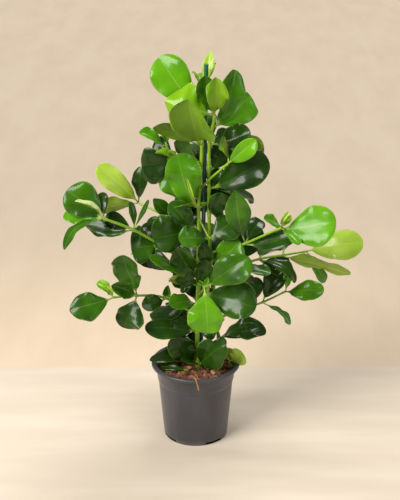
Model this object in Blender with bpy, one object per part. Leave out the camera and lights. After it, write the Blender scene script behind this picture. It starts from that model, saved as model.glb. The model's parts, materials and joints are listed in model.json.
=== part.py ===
# A clusia with thick rounded leaves on green stems, staked in a round nursery pot of bark mix.
# The origin is the middle of the pot's base, +Z is up, and the front is -Y. Sizes are in metres.
# The plant is a plan of shoots: each has a route of nodes, and its leaves grow from those nodes.

import math
from typing import NamedTuple

import bmesh
import bpy
from mathutils import Vector

GAP = 0.0003                    # what pieces that touch keep between them
BORE_GAP = 0.0004               # the same for a bore, whose flats come closer than its corners
MERGE = 0.00001
CREASE = math.radians(50)       # a bend sharper than this is shaded as an edge

POT_HEIGHT = 0.1535
RIM_RADIUS = 0.0850             # outside of the rolled rim
RIM_DEPTH = 0.0065
RIM_INNER = 0.0772
BAND_TOP = 0.0762               # the band is the steeper wall under the rim
BAND_FOOT = 0.0735
BAND_FOOT_HEIGHT = 0.1190
STEP = 0.0016                   # the wall steps in below the band
EDGE_ROUNDING = 0.0012
BASE_RADIUS = 0.0616
POT_WALL = 0.0018
POT_FLOOR = 0.0035
POT_SIDES = 48

NOTCHES = 4                     # drainage notches cut out of the foot
NOTCH_START = math.radians(-55)  # the first one, turned from the front
NOTCH_ANGLE = math.radians(34)
NOTCH_HEIGHT = 0.0056
NOTCH_INNER = 0.0530
NOTCH_STEPS = 6
BEYOND = 0.0100                 # how far a cutter passes the face it cuts

MIX_HEIGHT = 0.1385
MIX_ROUGHNESS = 0.0016
MIX_WAVES = (310, 270, 190)     # radians for each metre along X, along Y and slantwise
MIX_RINGS = 6
MIX_SIDES = 32

STAKE_RADIUS = 0.0040
STAKE_FOOT = (0.0080, 0.0065, 0.0200)
STAKE_TOP = (0.0195, 0.0065, 0.7330)
STAKE_SIDES = 16
STAKE_DOME = 0.0016

STEM_SIDES = 8
STEPS_BETWEEN_NODES = 3
COLLAR_WALL = 0.0020
COLLAR_HEIGHT = 0.0042
COLLAR_BITE = 0.65              # share of the collar's wall that lies inside a leaf's stalk
BUD_RADIUS = 0.0032
BUD_LENGTH = 1.2                # a bud's length, as a share of its width
BUD_BITE = 0.3                  # where a leaf starts in a bud, as a share of its radius

PETIOLE = 0.10                  # share of a leaf's length that is stalk
PETIOLE_WIDTH = 0.0028
PETIOLE_DEPTH = 0.0024
BLADE_DEPTH = 0.0016
BROADEST = 1.35                 # above 1, the outline is broadest beyond its middle
ROUNDNESS = 0.60                # below 1, the outline is fuller than a sine
POINTED_BROADEST = 0.95         # the same two for a fully pointed leaf
POINTED_ROUNDNESS = 1.15
SHOULDER = 0.35                 # how far a leaf leans out from its stem before it turns to its tip
LEAF_STATIONS = (0.0, 0.10, 0.25, 0.45, 0.65, 0.83, 0.955)


class Leaf(NamedTuple):
    """One leaf: where its tip lies from its node, and which way its upper side looks."""

    reach: tuple
    width: float
    face: tuple = (0.0, -1.0, 0.5)
    arch: float = 0.06          # height of the midrib's bow, as a share of its length
    fold: float = 12.0          # how far each half is raised from flat, in degrees
    tone: float = 0.2           # 0 is an old dark leaf and 1 the youngest
    point: float = 0.0          # 0 is a blade with a rounded end and 1 a pointed one


SHOOTS = {
    "main_stem": {
        "on": None,
        "radii": (0.0046, 0.0028),
        "route": [
            (0.004, -0.004, 0.075),
            (0.004, -0.004, 0.148),
            (0.003, -0.004, 0.218),
            (0.004, -0.004, 0.275),
            (0.005, -0.004, 0.313),
            (0.005, -0.003, 0.338),
            (0.006, -0.002, 0.425),
            (0.006, -0.001, 0.468),
            (0.0095, -0.003, 0.540),
            (0.0115, -0.003, 0.588),
            (0.009, 0.014, 0.655),
            (0.012, 0.022, 0.684),
        ],
        "leaves": {
            1: [
                Leaf((-0.092, 0.000, 0.012), 0.034, (0, -0.3, 1), 0.16, 5, 0.0),
                Leaf((-0.044, -0.016, 0.067), 0.055, (-0.2, -1, 0.3), 0.05, 8, 0.0),
                Leaf((0.052, -0.028, 0.052), 0.044, (-0.3, -1, 0.6), 0.08, -8, 0.05),
                Leaf((-0.022, -0.040, 0.004), 0.018, (0, -0.3, 1), 0.10, 5, 0.1),
            ],
            2: [
                Leaf((-0.092, -0.046, 0.031), 0.042, (0, -0.8, 0.6), 0.10, 10, 0.1),
                Leaf((-0.050, 0.080, 0.028), 0.058, (0, 0.2, 1), 0.10, 10, 0.1),
                Leaf((-0.058, 0.014, 0.030), 0.042, (0, -0.9, 0.4), 0.04, 8, 0.0),
                Leaf((-0.054, 0.010, -0.004), 0.036, (0, -0.9, 0.3), 0.04, 8, 0.0),
                Leaf((0.036, -0.010, 0.003), 0.032, (0, -0.9, 0.3), 0.04, 8, 0.0),
            ],
            3: [
                Leaf((-0.044, -0.041, 0.022), 0.040, (0, -0.6, 0.8), 0.08, 12, 0.3),
                Leaf((-0.096, 0.035, -0.035), 0.046, (0, 0.9, 0.4), 0.00, -10, 0.1),
                Leaf((-0.040, 0.085, 0.020), 0.058, (0, 0.2, 1), 0.10, 10, 0.1),
            ],
            4: [
                Leaf((-0.053, -0.026, 0.053), 0.046, (1, -0.6, 0.3), -0.10, 32, 0.2),
                Leaf((-0.014, 0.095, 0.024), 0.052, (0, 0.3, 1), 0.08, 10, 0.15),
            ],
            5: [
                Leaf((-0.042, 0.028, 0.052), 0.060, (0.35, -0.9, 0.4), 0.04, 8, 0.1),
                Leaf((-0.080, -0.080, 0.069), 0.028, (0, -0.15, 1), -0.03, 10, 0.45),
                Leaf((-0.030, 0.085, 0.045), 0.056, (0, 0.3, 1), 0.08, 10, 0.1),
            ],
            6: [
                Leaf((-0.074, -0.034, -0.039), 0.060, (-0.3, -0.95, 0.2), 0.06, 8, 0.05),
                Leaf((-0.040, -0.016, 0.042), 0.036, (0, -1, 0.3), 0.06, 10, 0.1),
                Leaf((-0.056, 0.020, 0.014), 0.036, (0, -0.9, 0.3), 0.04, 8, 0.1),
                Leaf((-0.024, 0.040, 0.034), 0.040, (0, -0.9, 0.3), 0.04, 8, 0.1),
            ],
            7: [
                Leaf((-0.042, -0.029, 0.014), 0.045, (0, 0.5, 1), 0.05, 6, 0.2),
                Leaf((0.024, -0.030, 0.022), 0.040, (0, 0.5, 1), 0.05, 6, 0.2),
                Leaf((-0.047, -0.022, 0.101), 0.076, (-0.2, -1, 0.4), 0.04, 6, 0.45),
                Leaf((-0.020, -0.040, 0.064), 0.012, (0.2, -1, 0.4), 0.04, 50, 0.9),
            ],
            8: [
                Leaf((-0.045, 0.032, 0.045), 0.036, (0.3, 0.9, 0.4), 0.05, 8, 0.0),
                Leaf((-0.020, 0.090, 0.025), 0.056, (0, 0.1, 1), 0.08, 10, 0.15),
            ],
            9: [
                Leaf((-0.087, -0.038, 0.051), 0.056, (0.3, 0.6, 0.8), 0.05, 12, 0.4),
                Leaf((-0.026, -0.060, 0.090), 0.078, (-0.35, 0.75, 0.55), -0.04, 10, 0.45),
                Leaf((-0.034, 0.022, 0.052), 0.038, (-0.3, -1, 0.3), 0.05, 12, 0.1),
            ],
            10: [
                Leaf((-0.074, 0.016, 0.084), 0.074, (-0.3, -1, 0.5), 0.05, 10, 0.5),
                Leaf((0.025, 0.082, 0.020), 0.052, (0, 0.3, 1), 0.08, 12, 0.4),
            ],
            11: [
                Leaf((0.012, 0.012, 0.070), 0.034, (-0.2, -1, 0.2), 0.03, 15, 0.95, 1.0),
                Leaf((0.022, 0.006, 0.046), 0.014, (-0.7, -0.8, 0), 0.03, 30, 0.4),
                Leaf((-0.008, 0.045, 0.020), 0.030, (0, 0.5, 1), 0.05, 20, 0.7),
            ],
        },
    },
    "upper_left_branch": {
        "on": "main_stem",
        "radii": (0.0024, 0.0018),
        "route": [
            (0.0065, -0.001, 0.487),
            (-0.037, 0.006, 0.557),
            (-0.051, 0.004, 0.580),
        ],
        "leaves": {
            1: [
                Leaf((-0.032, -0.018, 0.019), 0.020, (0, -0.5, 1), 0.10, 45, 0.9),
                Leaf((-0.012, -0.016, 0.018), 0.018, (0, -0.5, 1), 0.10, 45, 0.9),
                Leaf((-0.062, 0.018, -0.018), 0.072, (-0.2, -1, 0.6), 0.05, 8, 0.0),
            ],
            2: [
                Leaf((-0.047, -0.014, 0.034), 0.029, (-0.2, -0.4, 1), 0.05, 20, 0.6, 0.4),
                Leaf((-0.010, 0.010, 0.038), 0.024, (0.5, -1, 0), 0.05, 30, 0.5, 0.4),
            ],
        },
    },
    "upper_right_branch": {
        "on": "main_stem",
        "radii": (0.0024, 0.0020),
        "route": [
            (0.008, -0.002, 0.503),
            (0.030, -0.014, 0.530),
            (0.057, -0.022, 0.557),
        ],
        "leaves": {
            2: [
                Leaf((-0.006, -0.010, 0.055), 0.040, (-1, -0.4, 0), -0.10, 40, 0.8),
                Leaf((0.053, -0.028, 0.055), 0.044, (-0.3, -0.8, 0.6), 0.05, 12, 0.6),
                Leaf((0.070, 0.020, 0.029), 0.052, (0, -0.5, 1), 0.27, 10, 0.7),
            ],
        },
    },
    "left_branch": {
        "on": "main_stem",
        "radii": (0.0032, 0.0024),
        "route": [
            (0.005, -0.003, 0.360),
            (-0.040, -0.014, 0.382),
            (-0.067, -0.020, 0.402),
            (-0.112, -0.045, 0.440),
            (-0.160, -0.070, 0.470),
        ],
        "leaves": {
            1: [
                Leaf((-0.060, 0.025, 0.045), 0.044, (0, -1, 0.4), 0.05, 8, 0.0),
                Leaf((-0.080, 0.045, -0.015), 0.048, (0, 0.2, 1), 0.08, 10, 0.1),
            ],
            2: [
                Leaf((-0.027, -0.010, -0.038), 0.056, (-0.2, -0.9, 0.3), 0.05, 8, 0.0),
                Leaf((-0.052, -0.010, 0.003), 0.036, (0, -0.7, 0.7), 0.04, 6, 0.1),
            ],
            3: [
                Leaf((-0.086, -0.010, 0.015), 0.037, (0, -0.35, 1), -0.05, 8, 0.15),
                Leaf((-0.050, 0.012, 0.024), 0.034, (-0.2, -0.9, 0.5), 0.05, 8, 0.1),
                Leaf((-0.004, 0.012, 0.050), 0.030, (1, 0.1, 0), 0.05, 10, 0.3),
                Leaf((0.028, 0.000, 0.058), 0.022, (1, 0.1, -0.5), -0.02, 10, 0.3),
            ],
            4: [
                Leaf((-0.068, 0.005, 0.053), 0.067, (0, -1, 0.4), 0.04, 6, 0.15),
                Leaf((-0.077, 0.015, 0.004), 0.042, (0, -0.6, 1), 0.06, 10, 0.7),
                Leaf((-0.049, -0.025, 0.044), 0.024, (0, -0.6, 1), 0.05, 50, 0.8),
                Leaf((-0.074, -0.040, -0.040), 0.034, (-0.3, -0.4, 1), 0.26, 6, 0.5),
                Leaf((-0.006, 0.025, 0.043), 0.024, (0, -1, 0.2), 0.05, 10, 0.1),
            ],
        },
    },
    "rear_left_branch": {
        "on": "main_stem",
        "radii": (0.0028, 0.0020),
        "route": [
            (0.006, -0.002, 0.403),
            (-0.042, 0.038, 0.427),
            (-0.105, 0.075, 0.447),
        ],
        "leaves": {
            1: [
                Leaf((-0.034, -0.022, 0.048), 0.028, (-0.1, -1, 0.4), 0.05, 10, 0.1, 0.5),
                Leaf((0.030, 0.075, -0.030), 0.054, (0, 0.2, 1), 0.08, 10, 0.2),
                Leaf((-0.050, 0.008, -0.010), 0.034, (0, -0.9, 0.3), 0.04, 8, 0.1),
            ],
            2: [
                Leaf((-0.076, -0.015, 0.084), 0.040, (-0.2, -1, 0.5), 0.04, 10, 1.0),
                Leaf((-0.077, -0.020, -0.002), 0.036, (0, 1, 0.35), 0.05, 12, 0.7),
                Leaf((0.004, 0.010, 0.070), 0.038, (-0.6, -1, 0.1), 0.05, 10, 0.05),
            ],
        },
    },
    "lower_left_branch": {
        "on": "main_stem",
        "radii": (0.0026, 0.0018),
        "route": [
            (0.0035, -0.004, 0.250),
            (-0.058, -0.022, 0.295),
            (-0.109, -0.042, 0.3085),
            (-0.148, -0.060, 0.313),
        ],
        "leaves": {
            1: [
                Leaf((-0.040, -0.040, 0.003), 0.034, (0, -0.95, 0.3), 0.04, 10, 0.1),
                Leaf((0.010, -0.020, 0.028), 0.024, (0, -1, 0.3), 0.05, 35, 0.2),
            ],
            2: [
                Leaf((-0.022, -0.020, 0.089), 0.058, (-0.4, -1, 0.3), 0.05, 10, 0.3),
                Leaf((-0.023, -0.022, -0.056), 0.058, (-0.2, -0.9, 0.5), 0.08, 8, 0.2),
                Leaf((-0.042, -0.050, 0.042), 0.050, (0.8, -0.5, 0.2), -0.05, 15, 0.3),
            ],
            3: [
                Leaf((-0.079, -0.025, -0.007), 0.055, (-0.1, -0.8, 0.7), 0.08, 12, 0.3),
                Leaf((-0.033, 0.010, 0.024), 0.022, (0, -0.6, 1), 0.05, 30, 1.0),
                Leaf((-0.014, -0.006, 0.024), 0.018, (0, -0.6, 1), 0.05, 30, 0.9),
            ],
        },
    },
    "front_branch": {
        "on": "main_stem",
        "radii": (0.0026, 0.0022),
        "route": [
            (0.0045, -0.004, 0.289),
            (0.012, -0.042, 0.316),
            (0.016, -0.075, 0.338),
        ],
        "leaves": {
            1: [
                Leaf((0.096, -0.022, -0.021), 0.070, (0.1, -0.8, 0.7), 0.08, 8, 0.3),
            ],
            2: [
                Leaf((0.007, -0.024, -0.083), 0.070, (0.05, -1, 0.4), 0.06, 6, 0.7),
                Leaf((0.082, -0.030, 0.068), 0.056, (-0.1, -0.9, 0.5), 0.06, 12, 0.5),
                Leaf((-0.010, -0.010, 0.020), 0.018, (0, -1, 0.3), -0.15, 35, 0.8),
                Leaf((0.007, -0.010, 0.026), 0.018, (0, -1, 0.3), -0.15, 35, 0.8),
            ],
        },
    },
    "middle_twig": {
        "on": "main_stem",
        "radii": (0.0020, 0.0018),
        "route": [
            (0.006, -0.002, 0.447),
            (0.0235, -0.022, 0.418),
        ],
        "leaves": {
            1: [
                Leaf((0.048, 0.010, 0.023), 0.044, (0, -0.8, 0.7), 0.05, 6, 0.15),
                Leaf((-0.052, -0.033, 0.010), 0.043, (0, -0.8, 0.6), 0.08, 6, 0.25),
            ],
        },
    },
    "side_stem": {
        "on": "main_stem",
        "radii": (0.0036, 0.0028),
        "route": [
            (0.004, -0.004, 0.232),
            (0.0175, -0.008, 0.268),
            (0.027, -0.004, 0.348),
            (0.0265, -0.004, 0.400),
            (0.025, -0.003, 0.455),
            (0.0245, -0.003, 0.504),
            (0.0240, -0.002, 0.536),
            (0.0255, -0.002, 0.588),
            (0.031, -0.002, 0.620),
            (0.034, -0.002, 0.638),
        ],
        "leaves": {
            2: [
                Leaf((0.053, -0.026, 0.062), 0.057, (0, -0.9, 0.5), 0.06, 8, 0.3),
                Leaf((0.030, 0.090, 0.050), 0.058, (0, 0.2, 1), 0.08, 10, 0.1),
            ],
            4: [
                Leaf((0.035, 0.015, 0.040), 0.050, (0, -1, 0.3), 0.05, 8, 0.0),
                Leaf((0.060, 0.060, 0.005), 0.058, (0.1, 0.2, 1), 0.08, 8, 0.1),
            ],
            5: [
                Leaf((0.103, -0.022, 0.062), 0.068, (0, -0.9, 0.7), 0.06, 8, 0.15),
                Leaf((0.085, 0.018, -0.024), 0.050, (0, -0.2, 1), 0.06, 8, 0.0),
                Leaf((0.036, 0.014, 0.026), 0.036, (0, -0.9, 0.5), 0.03, 6, 0.1),
            ],
            6: [
                Leaf((0.031, 0.022, 0.049), 0.045, (0.2, -1, 0.3), 0.05, 8, 0.0),
                Leaf((0.045, 0.075, 0.030), 0.054, (0, 0.2, 1), 0.08, 10, 0.15),
            ],
            7: [
                Leaf((0.072, -0.014, 0.028), 0.052, (0, -0.75, 0.7), -0.05, 14, 0.1),
                Leaf((0.036, 0.004, 0.024), 0.034, (0, -0.9, 0.5), 0.03, 6, 0.1),
                Leaf((-0.010, 0.090, 0.035), 0.058, (0, 0.2, 1), 0.08, 10, 0.3),
            ],
            8: [
                Leaf((0.040, 0.007, 0.102), 0.055, (0.6, -1, 0.3), 0.06, 15, 0.45),
                Leaf((0.070, 0.040, 0.048), 0.063, (0.2, -1, 0.3), 0.06, 10, 0.4),
            ],
            9: [
                Leaf((-0.016, -0.010, 0.077), 0.045, (0, -1, 0.2), -0.08, 20, 0.3),
                Leaf((0.000, -0.028, 0.080), 0.050, (0.4, -1, 0.4), 0.05, 36, 0.8, 0.3),
                Leaf((-0.083, -0.018, 0.024), 0.060, (-0.1, -0.6, 1), 0.28, 10, 0.75),
            ],
        },
    },
    "right_branch": {
        "on": "side_stem",
        "radii": (0.0028, 0.0022),
        "route": [
            (0.0267, -0.004, 0.378),
            (0.060, -0.016, 0.392),
            (0.092, -0.030, 0.408),
            (0.152, -0.055, 0.447),
        ],
        "leaves": {
            2: [
                Leaf((-0.025, -0.034, 0.111), 0.053, (-0.1, -1, 0.3), 0.04, 10, 0.3),
                Leaf((0.092, -0.034, 0.018), 0.042, (0, -0.7, 0.8), 0.03, 8, 0.05),
                Leaf((0.035, 0.035, 0.022), 0.020, (0, -0.8, 0.6), 0.05, 10, 0.1),
            ],
            3: [
                Leaf((0.096, -0.034, 0.025), 0.078, (0, -0.8, 0.7), 0.05, 8, 0.5),
                Leaf((0.012, -0.014, 0.035), 0.018, (-0.5, -1, 0.3), 0.05, 35, 0.9),
                Leaf((0.020, 0.000, 0.024), 0.022, (0, -1, 0.3), 0.05, 30, 0.9),
                Leaf((-0.028, -0.044, 0.028), 0.030, (0.3, -0.2, 1), 0.05, 15, 0.6),
                Leaf((0.033, -0.044, -0.007), 0.030, (0.3, -0.25, 1), 0.05, 15, 0.6),
            ],
        },
    },
    "lower_right_branch": {
        "on": "side_stem",
        "radii": (0.0028, 0.0020),
        "route": [
            (0.0255, -0.004, 0.322),
            (0.070, 0.018, 0.339),
            (0.121, 0.035, 0.350),
            (0.167, 0.045, 0.354),
            (0.207, 0.050, 0.359),
        ],
        "leaves": {
            1: [
                Leaf((0.070, -0.028, 0.003), 0.036, (0, -0.2, 1), 0.05, 10, 0.2),
                Leaf((0.010, 0.064, 0.030), 0.046, (0, -0.7, 0.7), 0.05, 10, 0.0),
                Leaf((0.048, 0.030, 0.073), 0.050, (0, -0.9, 0.3), 0.04, 8, 0.0),
            ],
            2: [
                Leaf((0.068, -0.025, -0.036), 0.034, (0, -0.3, 1), 0.28, 10, 0.05),
                Leaf((0.040, 0.078, -0.008), 0.052, (0, 0.2, 1), 0.08, 10, 0.2),
            ],
            3: [
                Leaf((0.080, -0.030, -0.012), 0.058, (0, 0.9, 0.5), 0.05, 10, 0.7),
                Leaf((0.015, 0.075, 0.020), 0.048, (0, 0.2, 1), 0.08, 10, 0.3),
            ],
            4: [
                Leaf((0.107, -0.038, 0.036), 0.062, (0, -0.8, 0.7), 0.05, 6, 0.9),
                Leaf((0.087, -0.008, -0.040), 0.030, (0, 0.3, 1), -0.08, 10, 0.6),
                Leaf((0.037, 0.030, -0.072), 0.015, (0.3, -1, 0.3), 0.05, 10, 0.5),
            ],
        },
    },
    "low_stem": {
        "on": None,
        "radii": (0.0036, 0.0026),
        "route": [
            (0.055, 0.022, 0.075),
            (0.0445, 0.018, 0.193),
            (0.0335, 0.015, 0.228),
            (0.034, 0.022, 0.270),
            (0.036, 0.032, 0.315),
        ],
        "leaves": {
            1: [
                Leaf((0.082, -0.036, 0.038), 0.044, (0, -0.6, 1), 0.20, 10, 0.05),
                Leaf((0.072, -0.044, 0.044), 0.028, (0.1, -0.8, 0.6), 0.03, 10, 0.1),
            ],
            4: [
                Leaf((0.070, 0.010, 0.018), 0.048, (0, -0.6, 0.8), 0.06, 10, 0.0),
                Leaf((0.055, 0.070, 0.005), 0.054, (0.1, 0.2, 1), 0.08, 10, 0.1),
                Leaf((0.022, 0.085, 0.045), 0.054, (0, 0.2, 1), 0.08, 10, 0.1),
            ],
        },
    },
    "bottom_right_branch": {
        "on": "low_stem",
        "radii": (0.0024, 0.0018),
        "route": [
            (0.0335, 0.015, 0.232),
            (0.078, 0.022, 0.2465),
            (0.1295, 0.035, 0.2605),
            (0.169, 0.050, 0.274),
        ],
        "leaves": {
            1: [
                Leaf((0.045, 0.020, 0.060), 0.040, (0, -0.9, 0.4), 0.05, 10, 0.0),
                Leaf((0.030, 0.060, -0.010), 0.048, (0, 0.2, 1), 0.08, 10, 0.1),
            ],
            2: [
                Leaf((0.034, -0.014, 0.073), 0.046, (-0.5, -1, 0.3), 0.05, 12, 0.0),
                Leaf((0.055, -0.020, -0.032), 0.028, (0, 0.1, 1), 0.10, 10, 0.3),
            ],
            3: [
                Leaf((0.006, -0.006, 0.048), 0.026, (1, -0.3, 0), 0.05, 15, 0.2),
                Leaf((0.073, -0.034, 0.020), 0.046, (0, -0.7, 0.8), 0.06, 10, 0.25),
            ],
        },
    },
    "rear_branch": {
        "on": "low_stem",
        "radii": (0.0026, 0.0020),
        "route": [
            (0.0340, 0.020, 0.262),
            (0.030, 0.075, 0.288),
            (0.022, 0.130, 0.300),
            (0.012, 0.172, 0.302),
        ],
        "leaves": {
            1: [
                Leaf((0.060, 0.050, -0.010), 0.050, (0, 0.1, 1), 0.08, 10, 0.1),
                Leaf((-0.036, 0.050, 0.022), 0.046, (-0.2, 0.2, 1), 0.08, 10, 0.1),
            ],
            2: [
                Leaf((0.058, 0.055, 0.018), 0.052, (0.1, 0.2, 1), 0.08, 10, 0.1),
                Leaf((-0.052, 0.040, 0.018), 0.050, (-0.1, 0.2, 1), 0.08, 10, 0.2),
                Leaf((0.004, 0.030, 0.075), 0.046, (0, 1, 0.2), 0.08, 10, 0.2),
            ],
            3: [
                Leaf((0.046, 0.065, 0.010), 0.050, (0.1, 0.2, 1), 0.08, 10, 0.4),
                Leaf((-0.040, 0.062, 0.012), 0.046, (-0.1, 0.2, 1), 0.08, 10, 0.5),
                Leaf((0.004, 0.040, 0.055), 0.036, (0, 1, 0.2), 0.08, 15, 0.7),
                Leaf((0.002, 0.078, -0.034), 0.044, (0, 0.3, 1), 0.15, 10, 0.3),
            ],
        },
    },
    "upper_rear_branch": {
        "on": "main_stem",
        "radii": (0.0022, 0.0018),
        "route": [
            (0.006, -0.001, 0.478),
            (-0.006, 0.045, 0.500),
            (-0.010, 0.090, 0.514),
        ],
        "leaves": {
            1: [
                Leaf((-0.056, 0.036, -0.008), 0.046, (0, 0.1, 1), 0.08, 10, 0.2),
                Leaf((0.054, 0.044, 0.004), 0.046, (0, 0.1, 1), 0.08, 10, 0.2),
            ],
            2: [
                Leaf((-0.042, 0.055, -0.010), 0.044, (0, 0.2, 1), 0.08, 10, 0.4),
                Leaf((0.038, 0.060, -0.012), 0.044, (0, 0.2, 1), 0.08, 10, 0.5),
                Leaf((-0.002, 0.070, 0.020), 0.034, (0, 0.1, 1), 0.08, 15, 0.7),
            ],
        },
    },
    "sucker": {
        "on": None,
        "radii": (0.0018, 0.0016),
        "route": [
            (0.063, -0.002, 0.110),
            (0.064, -0.004, 0.150),
        ],
        "leaves": {
            1: [
                Leaf((0.021, -0.006, 0.028), 0.024, (0.2, 1, 0.3), 0.05, 15, 0.75),
                Leaf((-0.009, 0.006, 0.027), 0.024, (-0.2, 1, 0.3), 0.05, 15, 0.7),
            ],
        },
    },
}

FALLEN_LEAF_STALK = (-0.016, -0.026, 0.1408)
FALLEN_LEAF = Leaf((-0.052, 0.012, 0.004), 0.016, (0, -0.4, 1), 0.04, 8, 0.1)

STRAND_RADIUS = 0.0014          # a loose root that hangs over the front of the rim
STRAND_SIDES = 6
STRAND_TAPER = 0.7
STRAND_ROUTE = [
    (-0.005, -0.058, 0.1320),
    (-0.004, -0.063, 0.1430),
    (-0.003, -0.071, 0.1520),
    (-0.001, -0.079, 0.1554),
    (0.001, -0.0856, 0.1544),
    (0.003, -0.0870, 0.1480),
    (0.006, -0.0864, 0.1340),
]

# Each material: base colour (linear red, green, blue), roughness, metallic.
MATERIALS = {
    "pot_plastic": ((0.080, 0.073, 0.073), 0.48, 0.0),
    "bark_mix": ((0.155, 0.065, 0.032), 0.95, 0.0),
    "stake_coating": ((0.010, 0.110, 0.065), 0.35, 0.0),
    "green_stem": ((0.230, 0.400, 0.020), 0.45, 0.0),
    "root_bark": ((0.400, 0.160, 0.030), 0.70, 0.0),
    "leaf_old": ((0.016, 0.075, 0.008), 0.32, 0.0),
    "leaf_full": ((0.050, 0.190, 0.012), 0.32, 0.0),
    "leaf_fresh": ((0.150, 0.420, 0.010), 0.34, 0.0),
    "leaf_young": ((0.330, 0.580, 0.040), 0.38, 0.0),
}
# The greatest tone that each leaf material is for.
LEAF_TONES = ((0.201, "leaf_old"), (0.401, "leaf_full"), (0.701, "leaf_fresh"), (1.001, "leaf_young"))


def material(name):
    """The named material, made the first time it is asked for."""
    if name in bpy.data.materials:
        return bpy.data.materials[name]
    colour, roughness, metallic = MATERIALS[name]
    made = bpy.data.materials.new(name)
    made.use_nodes = True
    shader = made.node_tree.nodes["Principled BSDF"]
    shader.inputs["Base Color"].default_value = (*colour, 1.0)
    shader.inputs["Roughness"].default_value = roughness
    shader.inputs["Metallic"].default_value = metallic
    made.diffuse_color = (*colour, 1.0)
    return made


def add_object(name, bm, material_name):
    """A visible object holding this bmesh."""
    mesh = bpy.data.meshes.new(name)
    bmesh.ops.recalc_face_normals(bm, faces=bm.faces)
    bm.to_mesh(mesh)
    bm.free()
    mesh.materials.append(material(material_name))
    mesh.shade_smooth()
    mesh.set_sharp_from_angle(angle=CREASE)
    obj = bpy.data.objects.new(name, mesh)
    bpy.context.scene.collection.objects.link(obj)
    return obj


def add_helper(name, bm):
    """An object that only shapes another one."""
    obj = add_object(name, bm, "green_stem")
    obj.hide_render = True
    obj.display_type = "WIRE"
    return obj


def combine(obj, helpers, operation):
    """Applies one Boolean for each helper, and then removes the helpers."""
    for helper in helpers:
        modifier = obj.modifiers.new(helper.name, "BOOLEAN")
        modifier.operation = operation
        modifier.solver = "EXACT"
        modifier.object = helper
    graph = bpy.context.evaluated_depsgraph_get()
    result = bpy.data.meshes.new_from_object(obj.evaluated_get(graph))
    obj.modifiers.clear()
    obj.data = result
    for helper in helpers:
        bpy.data.objects.remove(helper)
    return obj


def turned(profile, sides):
    """A solid turned about Z from (radius, height) points that start and end on the axis."""
    bm = bmesh.new()
    verts = [bm.verts.new((radius, 0.0, height)) for radius, height in profile]
    edges = [bm.edges.new(pair) for pair in zip(verts, verts[1:])]
    bmesh.ops.spin(
        bm, geom=verts + edges, cent=(0, 0, 0), axis=(0, 0, 1), angle=math.tau, steps=sides, use_merge=True
    )
    bmesh.ops.remove_doubles(bm, verts=bm.verts, dist=MERGE)
    return bm


def loft(rings, first=None, last=None):
    """A closed solid through equal rings, each end closed by a face or drawn to a point."""
    bm = bmesh.new()
    rows = [[bm.verts.new(point) for point in ring] for ring in rings]
    count = len(rows[0])
    for low, high in zip(rows, rows[1:]):
        for i in range(count):
            j = (i + 1) % count
            bm.faces.new((low[i], low[j], high[j], high[i]))
    for row, point in ((rows[0], first), (rows[-1], last)):
        if point is None:
            bm.faces.new(row)
            continue
        apex = bm.verts.new(point)
        for i in range(count):
            bm.faces.new((row[i], row[(i + 1) % count], apex))
    return bm


def across(direction):
    """Two unit vectors square to a direction and to each other."""
    helper = Vector((0, 1, 0)) if abs(direction.y) < 0.8 else Vector((1, 0, 0))
    first = direction.cross(helper).normalized()
    return first, direction.cross(first).normalized()


def circle(centre, direction, radius, sides):
    """Points round a centre, square to a direction."""
    first, second = across(direction)
    turns = [math.tau * i / sides for i in range(sides)]
    return [centre + radius * (math.cos(turn) * first + math.sin(turn) * second) for turn in turns]


def smooth_route(nodes):
    """Points on one smooth curve through the nodes, STEPS_BETWEEN_NODES to each stretch."""
    nodes = [Vector(node) for node in nodes]
    padded = [2 * nodes[0] - nodes[1], *nodes, 2 * nodes[-1] - nodes[-2]]
    points = []
    for before, start, end, after in zip(padded, padded[1:], padded[2:], padded[3:]):
        for step in range(STEPS_BETWEEN_NODES):
            t = step / STEPS_BETWEEN_NODES
            points.append(
                0.5 * (
                    2 * start
                    + (end - before) * t
                    + (2 * before - 5 * start + 4 * end - after) * t**2
                    + (3 * start - before - 3 * end + after) * t**3
                )
            )
    points.append(nodes[-1])
    return points


def directions(points):
    """The direction of travel at each point of a route."""
    ahead = points[1:] + points[-1:]
    behind = points[:1] + points[:-1]
    return [(b - a).normalized() for a, b in zip(behind, ahead)]


def tube(route, radii, sides, extra=0.0):
    """A tapering round bar along a smooth route, and with extra, its bore: wider, and deeper at its start."""
    points = smooth_route(route)
    first, last = radii
    ways = directions(points)
    points[0] = points[0] - ways[0] * extra
    rings = []
    for i, (point, direction) in enumerate(zip(points, ways)):
        radius = first + (last - first) * i / (len(points) - 1)
        rings.append(circle(point, direction, radius + extra, sides))
    return loft(rings)


def radius_at(shoot, index):
    """Radius of a shoot's stem at one of its nodes."""
    first, last = shoot["radii"]
    return first + (last - first) * index / (len(shoot["route"]) - 1)


def direction_at(shoot, index):
    """The way a shoot's stem grows at one of its nodes."""
    points = smooth_route(shoot["route"])
    return directions(points)[index * STEPS_BETWEEN_NODES]


def outline(share, point):
    """Half the width of a blade, as a share of its greatest, at a share of its length."""
    broadest = BROADEST + (POINTED_BROADEST - BROADEST) * point
    roundness = ROUNDNESS + (POINTED_ROUNDNESS - ROUNDNESS) * point
    return math.sin(math.pi * min(max(share, 0.0), 1.0) ** broadest) ** roundness


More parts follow.
